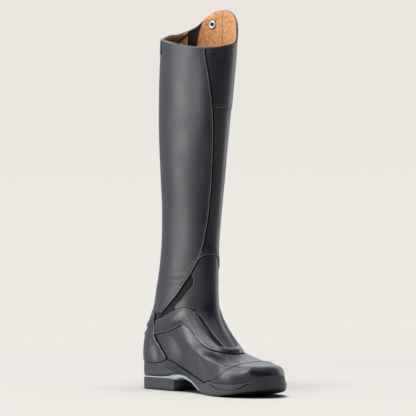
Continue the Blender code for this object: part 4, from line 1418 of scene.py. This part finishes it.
for side, sizes in ((-1, calfSizes), (1, outerCalfSizes)):
    calfEdgeCords(side, sizes)
    saddleEdgeCords(side)
    ankleEdgeCords(side)
cordInto(rolls, capCourse, capTurn, edgeSizes["rollLift"], edgeSizes["capRoll"])
cordInto(shadeCords, capCourse, capTurn, edgeSizes["gapLift"], edgeSizes["wideGap"], edgeSizes["gapAside"])
grooveLift = topOf(capSizes) - edgeSizes["capGrooveSink"]
cordInto(shadeCords, capCourse, capTurn, grooveLift, edgeSizes["groove"], edgeSizes["capGrooveAside"])
hemCords(hemCourse, hemTurn, shinSizes["hemLift"])
innerEnd, outerEnd = (curve(sizes["edge"], bandSizes["low"]) for sizes in (calfSizes, outerCalfSizes))
turn = np.linspace(-innerEnd, outerEnd, stitchSizes["samples"])
hemCords(np.full_like(turn, bandSizes["low"]), turn, bandSizes["lift"])
turn = np.linspace(-1, 1, stitchSizes["samples"])
# painted shade: a near-black cord where the upper comes out of the sole's cup
cordInto(shadeCords, cupCourse(turn, edgeSizes["cupClear"]), turn, edgeSizes["cupGapLift"], edgeSizes["cupGap"])
course = np.linspace(tabSizes["low"], tabSizes["top"], stitchSizes["samples"])
cordInto(shadeCords, course, np.full_like(course, tabSizes["inner"] - 1), tabSizes["lift"], edgeSizes["tabGap"])
lipStart, lipEnd = soleSizes["lip"][0][0], soleSizes["lip"][-1][0]
x = np.linspace(lipStart + edgeSizes["lipClear"], lipEnd - edgeSizes["lipClear"], stitchSizes["samples"])
swell = np.sqrt(np.sin(np.linspace(0, math.pi, stitchSizes["samples"])).clip(0)) * soleSizes["lipDepth"]
for side in (-1, 1):
    half = soleHalfWidth(x / bootForm["soleLength"], side < 0)
    y = side * (half + edgeSizes["lipProud"] + edgeSizes["lipShare"] * swell)
    points = np.stack((x, y, curve(soleSizes["lip"], x) + edgeSizes["lipRise"]), -1)
    addCord(shadeCords, tube(points, np.tile((0.0, side, 0.0), (len(x), 1)), edgeSizes["gap"]))
# the rolled edges take the lighter look that paints their highlight line
finishPiece("rolledEdges", rolls, wornEdge, "black_leather")
# near-black cords of painted shade along seams, gaps and grooves
finishPiece("paintedSeamShade", shadeCords, seamShade, "black_leather")
print("edges rolled")

# stage
stageSizes = {
    # camera and boot's middle in mm from the heel's back
    "turnDegrees": 56, "distance": 3900, "eyeHeight": 255, "aim": (40.0, 59.4, 241.0),
    "lens": 250.4, "sensor": 36.0, "clipEnd": 50, "bootCentre": (100.0, 0.0, 230.0),
    # the backdrop gets lighter towards the floor, within this much of the level view
    "backdrop": (0.812, 0.791, 0.738), "backdropLow": (0.846, 0.823, 0.768), "backdropRange": 0.05,
    # floor in metres; it melts into the backdrop behind the boot
    "floorTone": (0.360, 0.346, 0.315), "floorSize": 6.0, "floorSides": 64,
    "fadeStart": 0.35, "fadeEnd": 1.2, "floorRoughness": 0.9, "floorGloss": 0.1,
    # what the gloss mirrors, from behind the boot to the camera's side
    "wrap": (0.1, 0.65), "glow": (0.65, 0.03), "glowTone": (0.90, 0.955, 1.10),
}
yaw = math.radians(stageSizes["turnDegrees"])
rightwards = Vector((math.cos(yaw), math.sin(yaw), 0))
towards = Vector((math.sin(yaw), -math.cos(yaw), 0))
bootCentre = Vector(toFrame(np.array(stageSizes["bootCentre"])))

cameraData = bpy.data.cameras.new("camera")
cameraData.lens = stageSizes["lens"]
cameraData.sensor_width = stageSizes["sensor"]
cameraData.clip_end = stageSizes["clipEnd"]
camera = bpy.data.objects.new("camera", cameraData)
bpy.context.scene.collection.objects.link(camera)
eye = towards * stageSizes["distance"] * mm + Vector((0, 0, stageSizes["eyeHeight"] * mm))
eye += Vector(frameZero)
aim = Vector(toFrame(np.array(stageSizes["aim"])))


def lookFrom(place, goal):
    return Matrix.Translation(place) @ (goal - place).to_track_quat("-Z", "Y").to_matrix().to_4x4()


camera.matrix_world = lookFrom(eye, aim)
bpy.context.scene.camera = camera

# place is right, towards the camera and up from the boot's middle, size is width and height, in metres
lightTable = {
    "leftSoftbox": {
        "place": (-1.75, 0.10, 0.42), "size": (0.75, 1.7), "power": 25, "tone": (1.0, 0.99, 0.97),
    },
    "leftHighSoftbox": {
        "place": (-1.3, 0.5, 1.1), "size": (0.7, 1.1), "power": 13, "tone": (1.0, 0.99, 0.97),
    },
    "leftFill": {
        "place": (-1.35, 1.15, 0.15), "size": (1.2, 1.8), "power": 2.5, "tone": (0.96, 0.98, 1.0),
    },
    "topSoftbox": {
        "place": (-0.6, -0.85, 1.6), "size": (1.7, 1.5), "power": 31, "tone": (1.0, 0.995, 0.985),
    },
    "overSoftbox": {
        "place": (0.0, 0.7, 1.7), "size": (2.2, 1.4), "power": 9, "tone": (0.98, 0.99, 1.0),
    },
    "backSoftbox": {
        "place": (0.3, -1.5, 0.85), "size": (1.1, 1.2), "power": 4.5, "tone": (1.0, 0.995, 0.985),
    },
    "rightRim": {
        "place": (1.4, -1.1, 0.30), "size": (1.0, 1.8), "power": 8, "tone": (0.95, 0.97, 1.0),
    },
    "floorSoftbox": {
        "place": (-0.3, 0.8, 6.0), "size": (3.2, 3.2), "power": 830, "tone": (1.0, 1.0, 1.0),
    },
}
lampHolders = {}
for name, light in lightTable.items():
    lamp = bpy.data.lights.new(name, "AREA")
    lamp.shape = "RECTANGLE"
    lamp.size, lamp.size_y = light["size"]
    lamp.energy = light["power"]
    lamp.color = light["tone"]
    right, near, up = light["place"]
    spot = bootCentre + rightwards * right + towards * near + Vector((0, 0, up))
    holder = bpy.data.objects.new(name, lamp)
    holder.matrix_world = lookFrom(spot, bootCentre)
    bpy.context.scene.collection.objects.link(holder)
    lampHolders[name] = holder

floorShape = bmesh.new()
bmesh.ops.create_circle(
    floorShape, cap_ends=True, segments=stageSizes["floorSides"], radius=stageSizes["floorSize"],
)
floorMesh = bpy.data.meshes.new("floor")
floorShape.to_mesh(floorMesh)
floorShape.free()
floor = bpy.data.objects.new("floor", floorMesh)
bpy.context.scene.collection.objects.link(floor)
floorLook, tree, shader = nodeLook("paleFloor", roughness=stageSizes["floorRoughness"])
shader.inputs["Base Color"].default_value = (*stageSizes["floorTone"], 1)
shader.inputs["Specular IOR Level"].default_value = stageSizes["floorGloss"]
place = addNode(tree, "ShaderNodeTexCoord").outputs["Object"]
distance = addNode(tree, "ShaderNodeVectorMath", operation="DOT_PRODUCT")
distance.inputs[1].default_value = -towards
fade = addNode(
    tree, "ShaderNodeMapRange", interpolation_type="SMOOTHSTEP",
    From_Min=stageSizes["fadeStart"], From_Max=stageSizes["fadeEnd"],
)
clear = addNode(tree, "ShaderNodeBsdfTransparent")
blendOut = addNode(tree, "ShaderNodeMixShader")
tree.links.new(place, distance.inputs[0])
tree.links.new(distance.outputs["Value"], fade.inputs["Value"])
tree.links.new(fade.outputs["Result"], blendOut.inputs[0])
tree.links.new(shader.outputs[0], blendOut.inputs[1])
tree.links.new(clear.outputs[0], blendOut.inputs[2])
tree.links.new(blendOut.outputs[0], tree.nodes["Material Output"].inputs["Surface"])
floorMesh.materials.append(floorLook)

# one wide lamp lights the floor and nothing else; the others leave it out, so no long shadow falls on it
for state in ("INCLUDE", "EXCLUDE"):
    floorOnly = bpy.data.collections.new("floor" + state.title())
    floorOnly.objects.link(floor)
    floorOnly.collection_objects[0].light_linking.link_state = state
    for name, holder in lampHolders.items():
        if (name == "floorSoftbox") == (state == "INCLUDE"):
            holder.light_linking.receiver_collection = floorOnly

world = bpy.data.worlds.new("studio")
bpy.context.scene.world = world
world.use_nodes = True
tree = world.node_tree
backdrop = tree.nodes["Background"]
direction = addNode(tree, "ShaderNodeTexCoord").outputs["Generated"]
height = addNode(tree, "ShaderNodeSeparateXYZ")
lower = addNode(
    tree, "ShaderNodeMapRange", interpolation_type="SMOOTHSTEP",
    From_Min=-stageSizes["backdropRange"], From_Max=stageSizes["backdropRange"],
)
tint = addNode(tree, "ShaderNodeMix", data_type="RGBA")
tint.inputs["A"].default_value = (*stageSizes["backdropLow"], 1)
tint.inputs["B"].default_value = (*stageSizes["backdrop"], 1)
tree.links.new(direction, height.inputs[0])
tree.links.new(height.outputs["Z"], lower.inputs["Value"])
tree.links.new(lower.outputs["Result"], tint.inputs["Factor"])
tree.links.new(tint.outputs["Result"], backdrop.inputs["Color"])
# gloss mirrors the pale backdrop behind the boot and the dark room in front of it
gloss = addNode(tree, "ShaderNodeBackground", Color=(*stageSizes["glowTone"], 1))
facing = addNode(tree, "ShaderNodeVectorMath", operation="DOT_PRODUCT")
facing.inputs[1].default_value = towards
wrap = addNode(
    tree, "ShaderNodeMapRange", interpolation_type="SMOOTHSTEP",
    From_Min=stageSizes["wrap"][0], From_Max=stageSizes["wrap"][1],
    To_Min=stageSizes["glow"][0], To_Max=stageSizes["glow"][1],
)
tree.links.new(direction, facing.inputs[0])
tree.links.new(facing.outputs["Value"], wrap.inputs["Value"])
tree.links.new(wrap.outputs["Result"], gloss.inputs["Strength"])
seen = addNode(tree, "ShaderNodeLightPath").outputs["Is Camera Ray"]
choose = addNode(tree, "ShaderNodeMixShader")
tree.links.new(seen, choose.inputs[0])
tree.links.new(gloss.outputs[0], choose.inputs[1])
tree.links.new(backdrop.outputs[0], choose.inputs[2])
tree.links.new(choose.outputs[0], tree.nodes["World Output"].inputs["Surface"])
bpy.context.scene.view_settings.view_transform = "Standard"
print("stage set")
